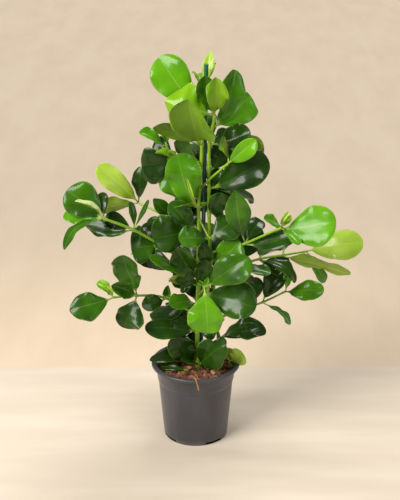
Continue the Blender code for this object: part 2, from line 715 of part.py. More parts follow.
def leaf_solid(leaf, start, tip, out):
    """One leaf from its stalk's start to its tip: a blade that is thickest at its midrib."""
    chord = tip - start
    length = chord.length
    face = Vector(leaf.face)
    lift = (face - face.project(chord)).normalized()

    def midrib(u):
        bow = leaf.arch * 4 * u * (1 - u)
        lean = SHOULDER * u * (1 - u) ** 2
        return start + chord * u + length * (lift * bow + out * lean)

    rings = []
    for u in LEAF_STATIONS:
        centre = midrib(u)
        along = (midrib(u + 0.01) - midrib(u - 0.01)).normalized()
        up = (face - face.project(along)).normalized()
        side = along.cross(up)
        blade = (u - PETIOLE) / (1 - PETIOLE)
        half = max(PETIOLE_WIDTH / 2, leaf.width / 2 * outline(blade, leaf.point))
        depth = PETIOLE_DEPTH if blade < 0 else BLADE_DEPTH
        raised = math.radians(leaf.fold) if blade > 0 else 0.0
        sideways = half * math.cos(raised)
        upwards = half * math.sin(raised)
        rings.append([
            centre - side * sideways + up * upwards,
            centre - up * depth / 2,
            centre + side * sideways + up * upwards,
            centre + up * depth / 2,
        ])
    bm = loft(rings, last=midrib(1.0))
    triangulate_evenly(bm)
    return bm


def triangulate_evenly(bm):
    """Splits a blade's quads so that its two skins bend along the same lines."""
    bm.verts.index_update()
    for quad in [face for face in bm.faces if len(face.verts) == 4]:
        a, b, c, d = quad.verts
        bm.faces.remove(quad)
        margin_first = a.index % 2 == 0
        corners = ((a, b, c), (a, c, d)) if margin_first else ((b, c, d), (b, d, a))
        for corner in corners:
            bm.faces.new(corner)


def collar(centre, direction, radius):
    """A ring that clasps a stem of this radius."""
    bore = (radius + GAP) / math.cos(math.pi / STEM_SIDES)
    rings = []
    for height, edge in ((-0.5, bore), (-0.5, bore + COLLAR_WALL), (0.5, bore + COLLAR_WALL), (0.5, bore)):
        middle = centre + direction * COLLAR_HEIGHT * height
        rings.append(circle(middle, direction, edge, STEM_SIDES))
    bm = bmesh.new()
    rows = [[bm.verts.new(point) for point in ring] for ring in rings]
    for low, high in zip(rows, rows[1:] + rows[:1]):
        for i in range(STEM_SIDES):
            j = (i + 1) % STEM_SIDES
            bm.faces.new((low[i], low[j], high[j], high[i]))
    return bm


def bud(centre, direction):
    """A growing tip, a little longer than wide."""
    rings = []
    for turn in (-45, 0, 45):
        angle = math.radians(turn)
        middle = centre + direction * BUD_RADIUS * BUD_LENGTH * math.sin(angle)
        rings.append(circle(middle, direction, BUD_RADIUS * math.cos(angle), STEM_SIDES))
    ends = direction * BUD_RADIUS * BUD_LENGTH
    return loft(rings, first=centre - ends, last=centre + ends)


def leaf_material(leaves):
    """The material that suits the age of a node's leaves."""
    tone = sum(leaf.tone for leaf in leaves) / len(leaves)
    return next(name for limit, name in LEAF_TONES if tone <= limit)


def add_leaf_node(name, shoot, index, leaves):
    """The leaves of one node of a shoot, joined by their collar or by the bud at its end."""
    node = Vector(shoot["route"][index])
    direction = direction_at(shoot, index)
    at_end = index == len(shoot["route"]) - 1
    if at_end:
        centre = node + direction * (BUD_RADIUS * BUD_LENGTH + GAP)
        obj = add_object(name, bud(centre, direction), leaf_material(leaves))
        clearance = BUD_RADIUS * BUD_BITE
    else:
        centre = node
        radius = radius_at(shoot, index)
        obj = add_object(name, collar(centre, direction, radius), leaf_material(leaves))
        clearance = radius + GAP + COLLAR_WALL * COLLAR_BITE
    helpers = []
    for number, leaf in enumerate(leaves, 1):
        tip = node + Vector(leaf.reach)
        chord = tip - centre
        out = (chord - chord.project(direction)).normalized()
        helpers.append(add_helper(f"{name}_{number}", leaf_solid(leaf, centre + out * clearance, tip, out)))
    return combine(obj, helpers, "UNION")


def stem_of(name):
    """The shoot that stands in the mix and carries this one."""
    return name if SHOOTS[name]["on"] is None else stem_of(SHOOTS[name]["on"])


def add_shoots():
    """The stems, each grown together with its branches, and then all their leaves."""
    for name, shoot in SHOOTS.items():
        if shoot["on"] is None:
            stem = add_object(name, tube(shoot["route"], shoot["radii"], STEM_SIDES), "green_stem")
            branches = [
                add_helper(other, tube(branch["route"], branch["radii"], STEM_SIDES))
                for other, branch in SHOOTS.items()
                if other != name and stem_of(other) == name
            ]
            combine(stem, branches, "UNION")
    for name, shoot in SHOOTS.items():
        for index, leaves in shoot["leaves"].items():
            add_leaf_node(f"{name}_leaves_{index}", shoot, index, leaves)


def wall_radius(height):
    """Outside radius of the pot below its band."""
    top = BAND_FOOT - STEP
    return BASE_RADIUS + (top - BASE_RADIUS) * height / BAND_FOOT_HEIGHT


def add_pot():
    """The pot: one wall turned from its outside and inside profiles, with notches in its foot."""
    outside = [
        (0.0, 0.0),
        (BASE_RADIUS - EDGE_ROUNDING, 0.0),
        (BASE_RADIUS, EDGE_ROUNDING),
        (BAND_FOOT - STEP, BAND_FOOT_HEIGHT - STEP),
        (BAND_FOOT, BAND_FOOT_HEIGHT + STEP),
        (BAND_TOP, POT_HEIGHT - RIM_DEPTH),
        (RIM_RADIUS - EDGE_ROUNDING, POT_HEIGHT - RIM_DEPTH),
        (RIM_RADIUS, POT_HEIGHT - RIM_DEPTH + EDGE_ROUNDING),
        (RIM_RADIUS, POT_HEIGHT - EDGE_ROUNDING),
        (RIM_RADIUS - EDGE_ROUNDING, POT_HEIGHT),
        (RIM_INNER, POT_HEIGHT),
    ]
    inside = [
        (BAND_TOP - POT_WALL, POT_HEIGHT - RIM_DEPTH),
        (BAND_FOOT - POT_WALL, BAND_FOOT_HEIGHT + STEP),
        (BAND_FOOT - STEP - POT_WALL, BAND_FOOT_HEIGHT - STEP),
        (wall_radius(POT_FLOOR) - POT_WALL, POT_FLOOR),
        (0.0, POT_FLOOR),
    ]
    pot = add_object("pot", turned(outside + inside, POT_SIDES), "pot_plastic")
    notches = [add_helper(f"notch_{i}", notch(i)) for i in range(NOTCHES)]
    return combine(pot, notches, "DIFFERENCE")


def notch(number):
    """A block that cuts one drainage notch through the foot."""
    middle = math.radians(-90) + NOTCH_START + math.tau * number / NOTCHES
    outer = BASE_RADIUS + BEYOND
    turns = [middle + NOTCH_ANGLE * (i / NOTCH_STEPS - 0.5) for i in range(NOTCH_STEPS + 1)]
    rings = []
    for turn in turns:
        reach = Vector((math.cos(turn), math.sin(turn), 0.0))
        rings.append([
            reach * NOTCH_INNER + Vector((0, 0, -BEYOND)),
            reach * outer + Vector((0, 0, -BEYOND)),
            reach * outer + Vector((0, 0, NOTCH_HEIGHT)),
            reach * NOTCH_INNER + Vector((0, 0, NOTCH_HEIGHT)),
        ])
    return loft(rings)


def mix_surface(radius, turn):
    """Height of the uneven top of the bark mix."""
    x, y = radius * math.cos(turn), radius * math.sin(turn)
    along_x, along_y, slantwise = MIX_WAVES
    waves = math.sin(along_x * x + 1.3) * math.cos(along_y * y + 0.4) + 0.6 * math.sin(slantwise * (x - y))
    return MIX_HEIGHT + MIX_ROUGHNESS * waves


def add_mix():
    """The bark mix fills the pot to below its rim, and is bored where each stem stands in it."""
    foot = POT_FLOOR + GAP
    edge = BAND_FOOT - POT_WALL - GAP
    step = BAND_FOOT - STEP - POT_WALL - GAP
    bottom = wall_radius(POT_FLOOR) - POT_WALL - GAP
    levels = [(bottom, foot), (step, BAND_FOOT_HEIGHT - STEP), (edge, BAND_FOOT_HEIGHT + STEP)]
    turns = [math.tau * i / MIX_SIDES for i in range(MIX_SIDES)]
    rings = [
        [Vector((radius * math.cos(turn), radius * math.sin(turn), height)) for turn in turns]
        for radius, height in levels
    ]
    for ring in range(MIX_RINGS, 0, -1):
        radius = edge * ring / MIX_RINGS
        rings.append([
            Vector((radius * math.cos(turn), radius * math.sin(turn), mix_surface(radius, turn)))
            for turn in turns
        ])
    bm = loft(rings, first=(0, 0, foot), last=(0, 0, mix_surface(0.0, 0.0)))
    mix = add_object("bark_mix", bm, "bark_mix")
    bores = [
        add_helper(f"{name}_bore", tube(shoot["route"], shoot["radii"], STEM_SIDES, BORE_GAP))
        for name, shoot in SHOOTS.items()
        if shoot["on"] is None
    ]
    bores.append(add_helper("stake_bore", stake_solid(BORE_GAP)))
    bores.append(add_helper("strand_bore", strand_solid(BORE_GAP)))
    return combine(mix, bores, "DIFFERENCE")


def stake_solid(extra):
    """The stake as one leaning round bar with a softened top, made wider all round for its bore."""
    foot, top = Vector(STAKE_FOOT), Vector(STAKE_TOP)
    direction = (top - foot).normalized()
    radius = STAKE_RADIUS + extra
    rings = [
        circle(foot - direction * extra, direction, radius, STAKE_SIDES),
        circle(top - direction * STAKE_DOME, direction, radius, STAKE_SIDES),
        circle(top, direction, radius - STAKE_DOME, STAKE_SIDES),
    ]
    return loft(rings)


def strand_solid(extra):
    """The loose root: it leaves the mix, crosses the rim and hangs down outside."""
    radii = (STRAND_RADIUS, STRAND_RADIUS * STRAND_TAPER)
    return tube(STRAND_ROUTE, radii, STRAND_SIDES, extra)


def add_fallen_leaf():
    """A leaf that has dropped on the mix."""
    start = Vector(FALLEN_LEAF_STALK)
    tip = start + Vector(FALLEN_LEAF.reach)
    out = (tip - start).normalized()
    return add_object("fallen_leaf", leaf_solid(FALLEN_LEAF, start, tip, out), "leaf_old")


def main():
    for obj in list(bpy.data.objects):
        bpy.data.objects.remove(obj)
    add_pot()
    add_mix()
    add_object("stake", stake_solid(0.0), "stake_coating")
    add_object("loose_root", strand_solid(0.0), "root_bark")
    add_shoots()
    add_fallen_leaf()


main()
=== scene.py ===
import json
import math
import random

import bmesh
import bpy
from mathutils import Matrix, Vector

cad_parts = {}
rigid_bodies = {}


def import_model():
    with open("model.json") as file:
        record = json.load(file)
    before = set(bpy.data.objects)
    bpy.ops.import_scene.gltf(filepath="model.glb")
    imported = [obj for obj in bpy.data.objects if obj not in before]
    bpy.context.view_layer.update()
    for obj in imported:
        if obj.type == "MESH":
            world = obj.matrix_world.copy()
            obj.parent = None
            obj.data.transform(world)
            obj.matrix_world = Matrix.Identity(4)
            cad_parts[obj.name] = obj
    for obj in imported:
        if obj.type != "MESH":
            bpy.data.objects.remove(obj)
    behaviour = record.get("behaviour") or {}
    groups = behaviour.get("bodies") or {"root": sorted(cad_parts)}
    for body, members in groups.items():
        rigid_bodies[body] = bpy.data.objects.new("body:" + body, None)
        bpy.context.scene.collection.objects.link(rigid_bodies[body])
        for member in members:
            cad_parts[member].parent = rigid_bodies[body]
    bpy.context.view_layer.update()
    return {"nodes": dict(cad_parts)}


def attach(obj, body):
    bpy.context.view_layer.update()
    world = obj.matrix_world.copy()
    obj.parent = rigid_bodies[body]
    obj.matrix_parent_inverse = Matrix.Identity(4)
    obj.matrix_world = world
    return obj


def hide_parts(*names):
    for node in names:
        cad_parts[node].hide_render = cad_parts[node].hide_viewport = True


# A clusia with thick rounded leaves, staked in a round nursery pot of bark mix.
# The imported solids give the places, the looks are built over them, and every piece rides on one body.

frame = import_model()
body = "root"
print("frame loaded,", len(frame["nodes"]), "nodes")


# small helpers for node trees

class Wire:
    # One output of a node tree, so that a formula reads as a formula.
    def __init__(self, socket):
        self.socket = socket
        self.tree = socket.id_data
        self.isVector = socket.type in ("VECTOR", "RGBA")


# wires, numbers and vectors can be combined with + - * / and **, whichever stands first
operators = {"add": "ADD", "sub": "SUBTRACT", "mul": "MULTIPLY", "truediv": "DIVIDE", "pow": "POWER"}
for label, operation in operators.items():
    setattr(Wire, f"__{label}__", lambda self, other, kind=operation: combine(kind, self, other))
    setattr(Wire, f"__r{label}__", lambda self, other, kind=operation: combine(kind, other, self))


def isVector(value):
    return value.isVector if isinstance(value, Wire) else isinstance(value, tuple)


def plug(value, socket):
    if isinstance(value, Wire):
        value.tree.links.new(value.socket, socket)
    else:
        socket.default_value = value


def addNode(tree, kind, settings=None, **inputs):
    node = tree.nodes.new(kind)
    for name, value in (settings or {}).items():
        setattr(node, name, value)
    for name, value in inputs.items():
        plug(value, node.inputs[name])
    return node


def mathNode(kind, operation, values):
    # The node's tree is that of the first wire among its values.
    tree = next(value.tree for value in values if isinstance(value, Wire))
    node = addNode(tree, kind, {"operation": operation})
    for value, socket in zip(values, node.inputs):
        plug(value, socket)
    return node


def number(operation, *values):
    return Wire(mathNode("ShaderNodeMath", operation, values).outputs[0])


def vector(operation, *values):
    node = mathNode("ShaderNodeVectorMath", operation, values)
    return Wire(node.outputs["Value" if operation == "LENGTH" else "Vector"])


def combine(operation, first, second):
    # Adds, subtracts, multiplies or divides numbers and vectors in any mixture.
    if not isVector(first) and not isVector(second):
        return number(operation, first, second)
    if operation == "MULTIPLY" and isVector(first) != isVector(second):
        arrow, share = (first, second) if isVector(first) else (second, first)
        node = mathNode("ShaderNodeVectorMath", "SCALE", (arrow,))
        plug(share, node.inputs["Scale"])
        return Wire(node.outputs["Vector"])
    return vector(operation, first, second)


def ease(value, low, high):
    # 0 at low and 1 at high, with a soft start and end.
    node = addNode(value.tree, "ShaderNodeMapRange", {"interpolation_type": "SMOOTHSTEP"}, Value=value)
    plug(low, node.inputs["From Min"])
    plug(high, node.inputs["From Max"])
    return Wire(node.outputs["Result"])


def hump(value):
    # 1 at 0, and falls away on both sides.
    return number("EXPONENT", value * value * -1.0)


def axisOf(place, axis):
    # X, Y or Z of a place.
    return Wire(addNode(place.tree, "ShaderNodeSeparateXYZ", Vector=place).outputs[axis])


def joined(tree, x, y, z):
    return Wire(addNode(tree, "ShaderNodeCombineXYZ", X=x, Y=y, Z=z).outputs[0])


def fromAxis(place):
    # How far a place is from the middle line of the pot.
    return vector("LENGTH", place * (1.0, 1.0, 0.0))


def named(tree, name, kind="FLOAT"):
    node = addNode(tree, "GeometryNodeInputNamedAttribute", {"data_type": kind}, Name=name)
    return Wire(node.outputs["Attribute"])


def through(kind, geometry, settings=None, port="Geometry", **inputs):
    # Sends geometry through one more node.
    node = addNode(geometry.tree, kind, settings, **inputs)
    plug(geometry, node.inputs[port])
    return Wire(node.outputs[0])


def store(geometry, name, value, domain="POINT"):
    settings = {"data_type": "FLOAT", "domain": domain}
    return through("GeometryNodeStoreNamedAttribute", geometry, settings, Name=name, Value=value)


def randomIn(tree, low, high, seed):
    # A random number, or a random vector if low and high are vectors.
    kinds = ("FLOAT_VECTOR", "VECTOR") if isVector(low) else ("FLOAT", "VALUE")
    node = addNode(tree, "FunctionNodeRandomValue", {"data_type": kinds[0]}, Seed=seed)
    for socket, value in zip([socket for socket in node.inputs if socket.type == kinds[1]], (low, high)):
        socket.default_value = value
    return Wire(next(socket for socket in node.outputs if socket.type == kinds[1]))


def newTree(name, sizes):
    # An empty geometry tree with a named input for each size, and the wires of its inputs.
    tree = bpy.data.node_groups.new(name, "GeometryNodeTree")
    tree.interface.new_socket("Geometry", in_out="INPUT", socket_type="NodeSocketGeometry")
    for label, value in sizes.items():
        kind = "NodeSocketInt" if isinstance(value, int) else "NodeSocketFloat"
        tree.interface.new_socket(label, in_out="INPUT", socket_type=kind).default_value = value
    tree.interface.new_socket("Material", in_out="INPUT", socket_type="NodeSocketMaterial")
    tree.interface.new_socket("Geometry", in_out="OUTPUT", socket_type="NodeSocketGeometry")
    source = tree.nodes.new("NodeGroupInput")
    return tree, {socket.name: Wire(socket) for socket in source.outputs if socket.name}


def endTree(geometry, wires, smooth=True):
    # Every tree ends in real geometry with its material.
    geometry = through("GeometryNodeRealizeInstances", geometry)
    geometry = through("GeometryNodeSetShadeSmooth", geometry, **{"Shade Smooth": smooth})
    geometry = through("GeometryNodeSetMaterial", geometry, Material=wires["Material"])
    plug(geometry, geometry.tree.nodes.new("NodeGroupOutput").inputs["Geometry"])
    return geometry.tree


def addObject(name, data):
    obj = bpy.data.objects.new(name, data)
    bpy.context.scene.collection.objects.link(obj)
    return obj


def grow(name, mesh, tree, material, sizes, drop=()):
    # Runs a tree on a mesh and keeps the result as a plain mesh.
    obj = addObject(name, mesh)
    modifier = obj.modifiers.new("tree", "NODES")
    modifier.node_group = tree
    for socket in tree.interface.items_tree:
        if socket.name in sizes:
            modifier[socket.identifier] = sizes[socket.name]
        elif socket.name == "Material":
            modifier[socket.identifier] = material
    graph = bpy.context.evaluated_depsgraph_get()
    result = bpy.data.meshes.new_from_object(obj.evaluated_get(graph))
    obj.modifiers.clear()
    obj.data = result
    for attribute in drop:
        result.attributes.remove(result.attributes[attribute])
    result.name = name
    return obj


def pointMesh(name, points, edges, numbers, vectors=None):
    # A mesh of bare points or edges that carries what a tree needs to know at each.
    mesh = bpy.data.meshes.new(name)
    mesh.from_pydata([tuple(point) for point in points], edges, [])
    for label, values in numbers.items():
        mesh.attributes.new(label, "FLOAT", "POINT").data.foreach_set("value", values)
    for label, values in (vectors or {}).items():
        flat = [component for value in values for component in value]
        mesh.attributes.new(label, "FLOAT_VECTOR", "POINT").data.foreach_set("vector", flat)
    return mesh


def path(points):
    # The edges that join points one after another.
    return [(i, i + 1) for i in range(len(points) - 1)]


def meshObject(name, bm, material):
    bmesh.ops.remove_doubles(bm, verts=bm.verts, dist=0.00001)
    bmesh.ops.recalc_face_normals(bm, faces=bm.faces)
    mesh = bpy.data.meshes.new(name)
    bm.to_mesh(mesh)
    bm.free()
    mesh.shade_smooth()
    mesh.materials.append(material)
    return addObject(name, mesh)


# small helpers for materials

def newMaterial(name, **shader):
    # A material, and the wire of the place on the object.
    material = bpy.data.materials.new(name)
    material.use_nodes = True
    for label, value in shader.items():
        surfaceOf(material)[label].default_value = value
    return material, Wire(addNode(material.node_tree, "ShaderNodeTexCoord").outputs["Object"])


def surfaceOf(material):
    # The sockets of the material's shader.
    return material.node_tree.nodes["Principled BSDF"].inputs


def attributeOf(tree, name):
    return Wire(addNode(tree, "ShaderNodeAttribute", {"attribute_name": name}).outputs["Fac"])


def noise(place, scale, detail=2.0, roughness=0.5):
    inputs = {"Vector": place, "Scale": scale, "Detail": detail, "Roughness": roughness}
    return Wire(addNode(place.tree, "ShaderNodeTexNoise", **inputs).outputs["Fac"])


def mix(share, first, second):
    # The first colour where share is 0, and the second where it is 1.
    node = addNode(share.tree, "ShaderNodeMix", {"data_type": "RGBA", "clamp_factor": True})
    for value, port in ((share, 0), (first, 6), (second, 7)):
        plug(value if isinstance(value, Wire) else (*value, 1.0), node.inputs[port])
    return Wire(node.outputs[2])


def ramp(share, stops):
    node = addNode(share.tree, "ShaderNodeValToRGB", Fac=share)
    points = node.color_ramp.elements
    while len(points) < len(stops):
        points.new(0.5)
    for point, (place, colour) in zip(points, stops):
        point.position = place
        point.color = (*colour, 1.0)
    return Wire(node.outputs["Color"])


def finished(material, colour, height, distance, strength, rough=None):
    # Gives the surface its colour and its relief, and its roughness where that varies.
    plug(colour, surfaceOf(material)["Base Color"])
    if rough is not None:
        plug(rough, surfaceOf(material)["Roughness"])
    node = addNode(height.tree, "ShaderNodeBump", Height=height, Distance=distance, Strength=strength)
    plug(Wire(node.outputs["Normal"]), surfaceOf(material)["Normal"])
    return material


# the plan of the plant, in millimetres: each shoot's route, and the leaves that grow from its nodes

def leaf(node, reach, width, face, arch, fold, tone, point=0.0, wave=1.0, skew=0.0):
    # reach is the tip from its node, and face is the way the upper side looks.
    # arch is the bow in hundredths of the length, fold is in degrees, and tone 0 is old and 100 young.
    # wave is how far the margins wave, and skew sets one half of the blade ahead of the other.
    return {
        "node": node, "reach": metres(reach), "width": width / 1000, "face": face, "arch": arch / 100,
        "fold": math.radians(fold), "tone": tone / 100, "point": point, "wave": wave, "skew": skew,
    }


def metres(place):
    return [value / 1000 for value in place]


shoots = {}


def addShoot(name, parent, radii, route, leaves, green=0.55):
    # green is 0 for bark and 1 for a young stem, and radii are at its start and at its end.
    atNode = {}
    for plan in leaves:
        atNode.setdefault(plan["node"], []).append(plan)
    shoots[name] = {
        "parent": parent, "green": green, "radii": metres(radii),
        "route": [metres(place) for place in route], "leaves": atNode,
    }


addShoot("main_stem", None, (4.6, 2.8), [
    (4, -4, 75), (4, -4, 148), (3, -4, 218), (4, -4, 275), (5, -4, 313), (5, -3, 338), (6, -2, 425),
    (6, -1, 468), (9.5, -3, 540), (11.5, -3, 588), (9, 14, 655), (12, 22, 684),
], [
    leaf(1, (-92, 0, 12), 34, (0, -0.3, 1), 16, 5, 0),
    leaf(1, (-44, -16, 67), 55, (-0.2, -1, 0.3), 5, 8, 0, wave=1.6),
    leaf(1, (45, -52, 66), 56, (-0.3, -0.8, 0.7), 8, -8, 6, wave=1.2, skew=-0.4),
    leaf(1, (-25, -46, 30), 32, (0, -0.3, 1), 10, 5, 5, wave=0.6),
    leaf(1, (23, -30, 61), 40, (0, -0.9, 0.5), 5, 10, 8),
    leaf(2, (-92, -46, 31), 42, (0, -0.8, 0.6), 10, 10, 10, wave=1.2),
    leaf(2, (-50, 80, 28), 58, (0, 0.2, 1), 10, 10, 10),
    leaf(2, (-58, 14, 30), 42, (0, -0.9, 0.4), 4, 8, 0),
    leaf(2, (-54, 10, -4), 36, (0, -0.9, 0.3), 4, 8, 0),
    leaf(2, (36, -10, 3), 32, (0, -0.9, 0.3), 4, 8, 0),
    leaf(2, (-16, 16, -38), 32, (0, -0.9, 0.3), 5, 10, 5),
    leaf(3, (-43, -68, 34), 46, (0, -0.6, 0.8), 8, 12, 30),
    leaf(3, (-96, 35, -35), 46, (0, -0.6, 1), 0, -10, 10),
    leaf(3, (-40, 85, 20), 58, (0, 0.2, 1), 10, 10, 10),
    leaf(3, (31, 34, 13), 46, (0.1, -0.9, 0.4), 5, 10, 5),
    leaf(4, (-53, -26, 53), 46, (1, -0.6, 0.3), -10, 32, 25),
    leaf(4, (-14, 95, 24), 52, (0, 0.3, 1), 8, 10, 15),
    leaf(4, (14, -30, 59), 36, (0.1, -0.9, 0.4), 5, 10, 5),
    leaf(4, (-34, 14, 0), 44, (0, -0.9, 0.4), 5, 10, 5),
    leaf(4, (-41, -32, 50), 40, (-0.2, -0.9, 0.5), 6, 10, 12),
    leaf(4, (-52, -42, 31), 32, (0, 0.8, 0.3), 6, 10, 90),
    leaf(5, (-40, -47, 67), 60, (-0.3, -0.8, 0.55), 4, 20, 12, wave=0.9),
    leaf(5, (-80, -80, 69), 36, (0, -0.6, 1), -3, 10, 40),
    leaf(5, (-30, 85, 45), 56, (0, 0.3, 1), 8, 10, 10),
    leaf(6, (-81, -34, -6), 74, (-0.3, -0.95, 0.2), 6, 8, 5, wave=1.2),
    leaf(6, (-52, -16, 57), 44, (0, -1, 0.3), 6, 10, 10),
    leaf(6, (-56, 20, 14), 36, (0, -0.9, 0.3), 4, 8, 10),
    leaf(6, (-24, 40, 34), 40, (0, -0.9, 0.3), 4, 8, 10),
    leaf(7, (-42, -29, 14), 30, (0, 0.5, 1), 5, 6, 42),
    leaf(7, (24, -30, 22), 26, (0, 0.5, 1), 5, 6, 42),
    leaf(7, (-39, -22, 103), 68, (-0.2, -1, 0.4), 4, 6, 36, wave=1.8),
    leaf(7, (-20, -40, 64), 12, (0.2, -1, 0.4), 4, 50, 90),
    leaf(7, (-66, 5, 87), 56, (-0.4, -1, 0.3), 4, 10, 42, wave=1.6),
    leaf(7, (-42, 31, 14), 42, (0, -0.9, 0.3), 4, 8, 5),
    leaf(7, (26, 21, 31), 40, (0.2, -0.9, 0.3), 4, 8, 5),
    leaf(7, (-20, -44, 65), 10, (0, -1, 0.2), 4, 30, 92),
    leaf(8, (-45, 32, 45), 36, (0.3, 0.9, 0.4), 5, 8, 0),
    leaf(8, (-20, 90, 25), 56, (0, 0.1, 1), 8, 10, 15),
    leaf(9, (-86, -38, 53), 42, (0.3, 1, 0.3), 0, 12, 34, point=0.5, wave=0.6),
    leaf(9, (-24, -57, 100), 82, (0, 0.8, 0.35), -4, -14, 42, point=0.45, skew=0.6),
    leaf(9, (-34, 22, 52), 38, (-0.3, -1, 0.3), 5, 12, 10),
    leaf(10, (-74, 16, 84), 74, (-0.3, -1, 0.5), 5, 10, 52, wave=0.6),
    leaf(10, (25, 82, 20), 52, (0, 0.3, 1), 8, 12, 40),
    leaf(11, (16, 12, 68), 26, (-0.2, -1, 0.2), 3, 15, 88, point=1.0),
    leaf(11, (22, 6, 46), 14, (-0.7, -0.8, 0), 3, 30, 40),
    leaf(11, (-8, 45, 20), 30, (0, 0.5, 1), 5, 20, 70),
], green=0.62)
addShoot("upper_left_branch", "main_stem", (2.4, 1.8), [
    (6.5, -1, 487), (-37, 6, 557), (-51, 4, 580),
], [
    leaf(1, (-32, -18, 19), 26, (0, -0.5, 1), 10, 45, 62),
    leaf(1, (-12, -16, 18), 24, (0, -0.5, 1), 10, 45, 66),
    leaf(1, (-62, 18, -18), 72, (0.1, -1, 0.15), 5, 8, 5, wave=0.6),
    leaf(1, (-35, 26, 32), 36, (-0.2, -1, 0.2), 5, 10, 5),
    leaf(2, (-46, -14, 36), 42, (-0.2, -0.4, 1), 5, 20, 50, point=0.4),
    leaf(2, (-10, 10, 38), 32, (0.5, -1, 0), 5, 30, 45, point=0.4),
])
addShoot("upper_right_branch", "main_stem", (2.4, 2), [
    (8, -2, 503), (30, -14, 530), (57, -22, 557),
], [
    leaf(2, (-6, -10, 55), 40, (-1, -0.4, 0), -10, 40, 66),
    leaf(2, (48, -28, 53), 36, (0, -1, 0.15), 5, 12, 54),
    leaf(2, (65, 28, 25), 74, (-0.2, 0.9, 0.3), 22, 10, 74, point=0.1),
])
addShoot("left_branch", "main_stem", (3.2, 2.4), [
    (5, -3, 360), (-40, -14, 382), (-67, -20, 402), (-112, -45, 440), (-160, -70, 470),
], [
    leaf(1, (-60, 25, 45), 44, (0, -1, 0.4), 5, 8, 0),
    leaf(1, (-80, 45, -15), 48, (0, 0.2, 1), 8, 10, 10),
    leaf(2, (-13, -10, -45), 72, (-0.2, -0.9, 0.3), 5, 8, 0),
    leaf(2, (-50, -10, -3), 78, (0, -0.7, 0.7), 4, 6, 10, wave=0.8),
    leaf(3, (-86, -10, 15), 52, (0, -0.35, 1), -5, 8, 20, wave=0.7),
    leaf(3, (-50, 12, 24), 34, (-0.2, -0.9, 0.5), 5, 8, 10),
    leaf(3, (-4, 12, 50), 17, (0.5, -0.8, 0.1), 5, 10, 20),
    leaf(3, (28, 0, 58), 11, (0.5, -0.8, 0.1), -2, 10, 25),
    leaf(4, (-67, 5, 53), 67, (0.1, -1, 0.25), 4, 6, 24),
    leaf(4, (-76, 15, 4), 42, (0, -0.6, 1), 6, 10, 46),
    leaf(4, (-49, -25, 44), 26, (0, -0.6, 1), 5, 50, 125),
    leaf(4, (-73, -40, -40), 25, (-0.3, -0.4, 1), 26, 6, 22),
    leaf(4, (-6, 25, 43), 24, (0, -1, 0.2), 5, 10, 10),
])
addShoot("rear_left_branch", "main_stem", (2.8, 2), [
    (6, -2, 403), (-42, 38, 427), (-105, 75, 447),
], [
    leaf(1, (-34, -22, 48), 28, (-0.1, -1, 0.4), 5, 10, 10, point=0.5),
    leaf(1, (30, 75, -30), 54, (0, 0.2, 1), 8, 10, 20),
    leaf(1, (-50, 8, -10), 34, (0, -0.9, 0.3), 4, 8, 10),
    leaf(2, (-74, -15, 80), 44, (-0.2, -1, 0.5), 4, 10, 91, point=-0.15, wave=0.7),
    leaf(2, (-77, -20, -2), 42, (0, 1, 0.35), 5, 12, 70),
    leaf(2, (4, 10, 70), 38, (-0.6, -1, 0.1), 5, 10, 5),
])
addShoot("lower_left_branch", "main_stem", (2.6, 1.8), [
    (3.5, -4, 250), (-58, -22, 295), (-109, -42, 308.5), (-148, -60, 313),
], [
    leaf(1, (-40, -40, 3), 34, (0, -0.95, 0.3), 4, 10, 10),
    leaf(1, (7, -20, 31), 34, (0, -1, 0.3), 5, 35, 20),
    leaf(2, (-22, -20, 89), 58, (-0.4, -1, 0.3), 5, 10, 22, wave=1.5),
    leaf(2, (-23, -22, -56), 58, (-0.2, -0.9, 0.5), 8, 8, 14, wave=1.8),
    leaf(2, (-42, -50, 42), 50, (0.8, -0.5, 0.2), -5, 28, 28),
    leaf(3, (-81, -25, -16), 60, (-0.1, -0.8, 0.7), 8, 12, 26, point=0.35, wave=1.3),
    leaf(3, (-33, 10, 24), 34, (0, -0.6, 1), 5, 30, 66),
    leaf(3, (-14, -6, 24), 18, (0, -0.6, 1), 5, 30, 90),
])
addShoot("front_branch", "main_stem", (2.6, 2.2), [
    (4.5, -4, 289), (12, -42, 316), (16, -75, 338),
], [
    leaf(1, (94, -58, -4), 74, (-0.3, -0.8, 0.5), 8, 8, 18, wave=1.2),
    leaf(2, (7, -19, -83), 70, (0.05, -1, 0.4), 6, 6, 52, wave=1.9, skew=-0.12),
    leaf(2, (76, -25, 70), 66, (-0.1, -0.9, 0.5), 6, 12, 20, point=0.15, skew=0.25),
    leaf(2, (-10, -10, 20), 20, (0, -1, 0.3), -15, 35, 56),
    leaf(2, (7, -10, 26), 20, (0, -1, 0.3), -15, 35, 60),
])
addShoot("middle_twig", "main_stem", (2, 1.8), [
    (6, -2, 447), (23.5, -22, 418),
], [
    leaf(1, (47, 10, 27), 56, (0, -0.8, 0.7), 5, 6, 15, wave=0.8),
    leaf(1, (-52, -33, 10), 43, (0, -0.8, 0.6), 8, 6, 19, wave=1.2),
])
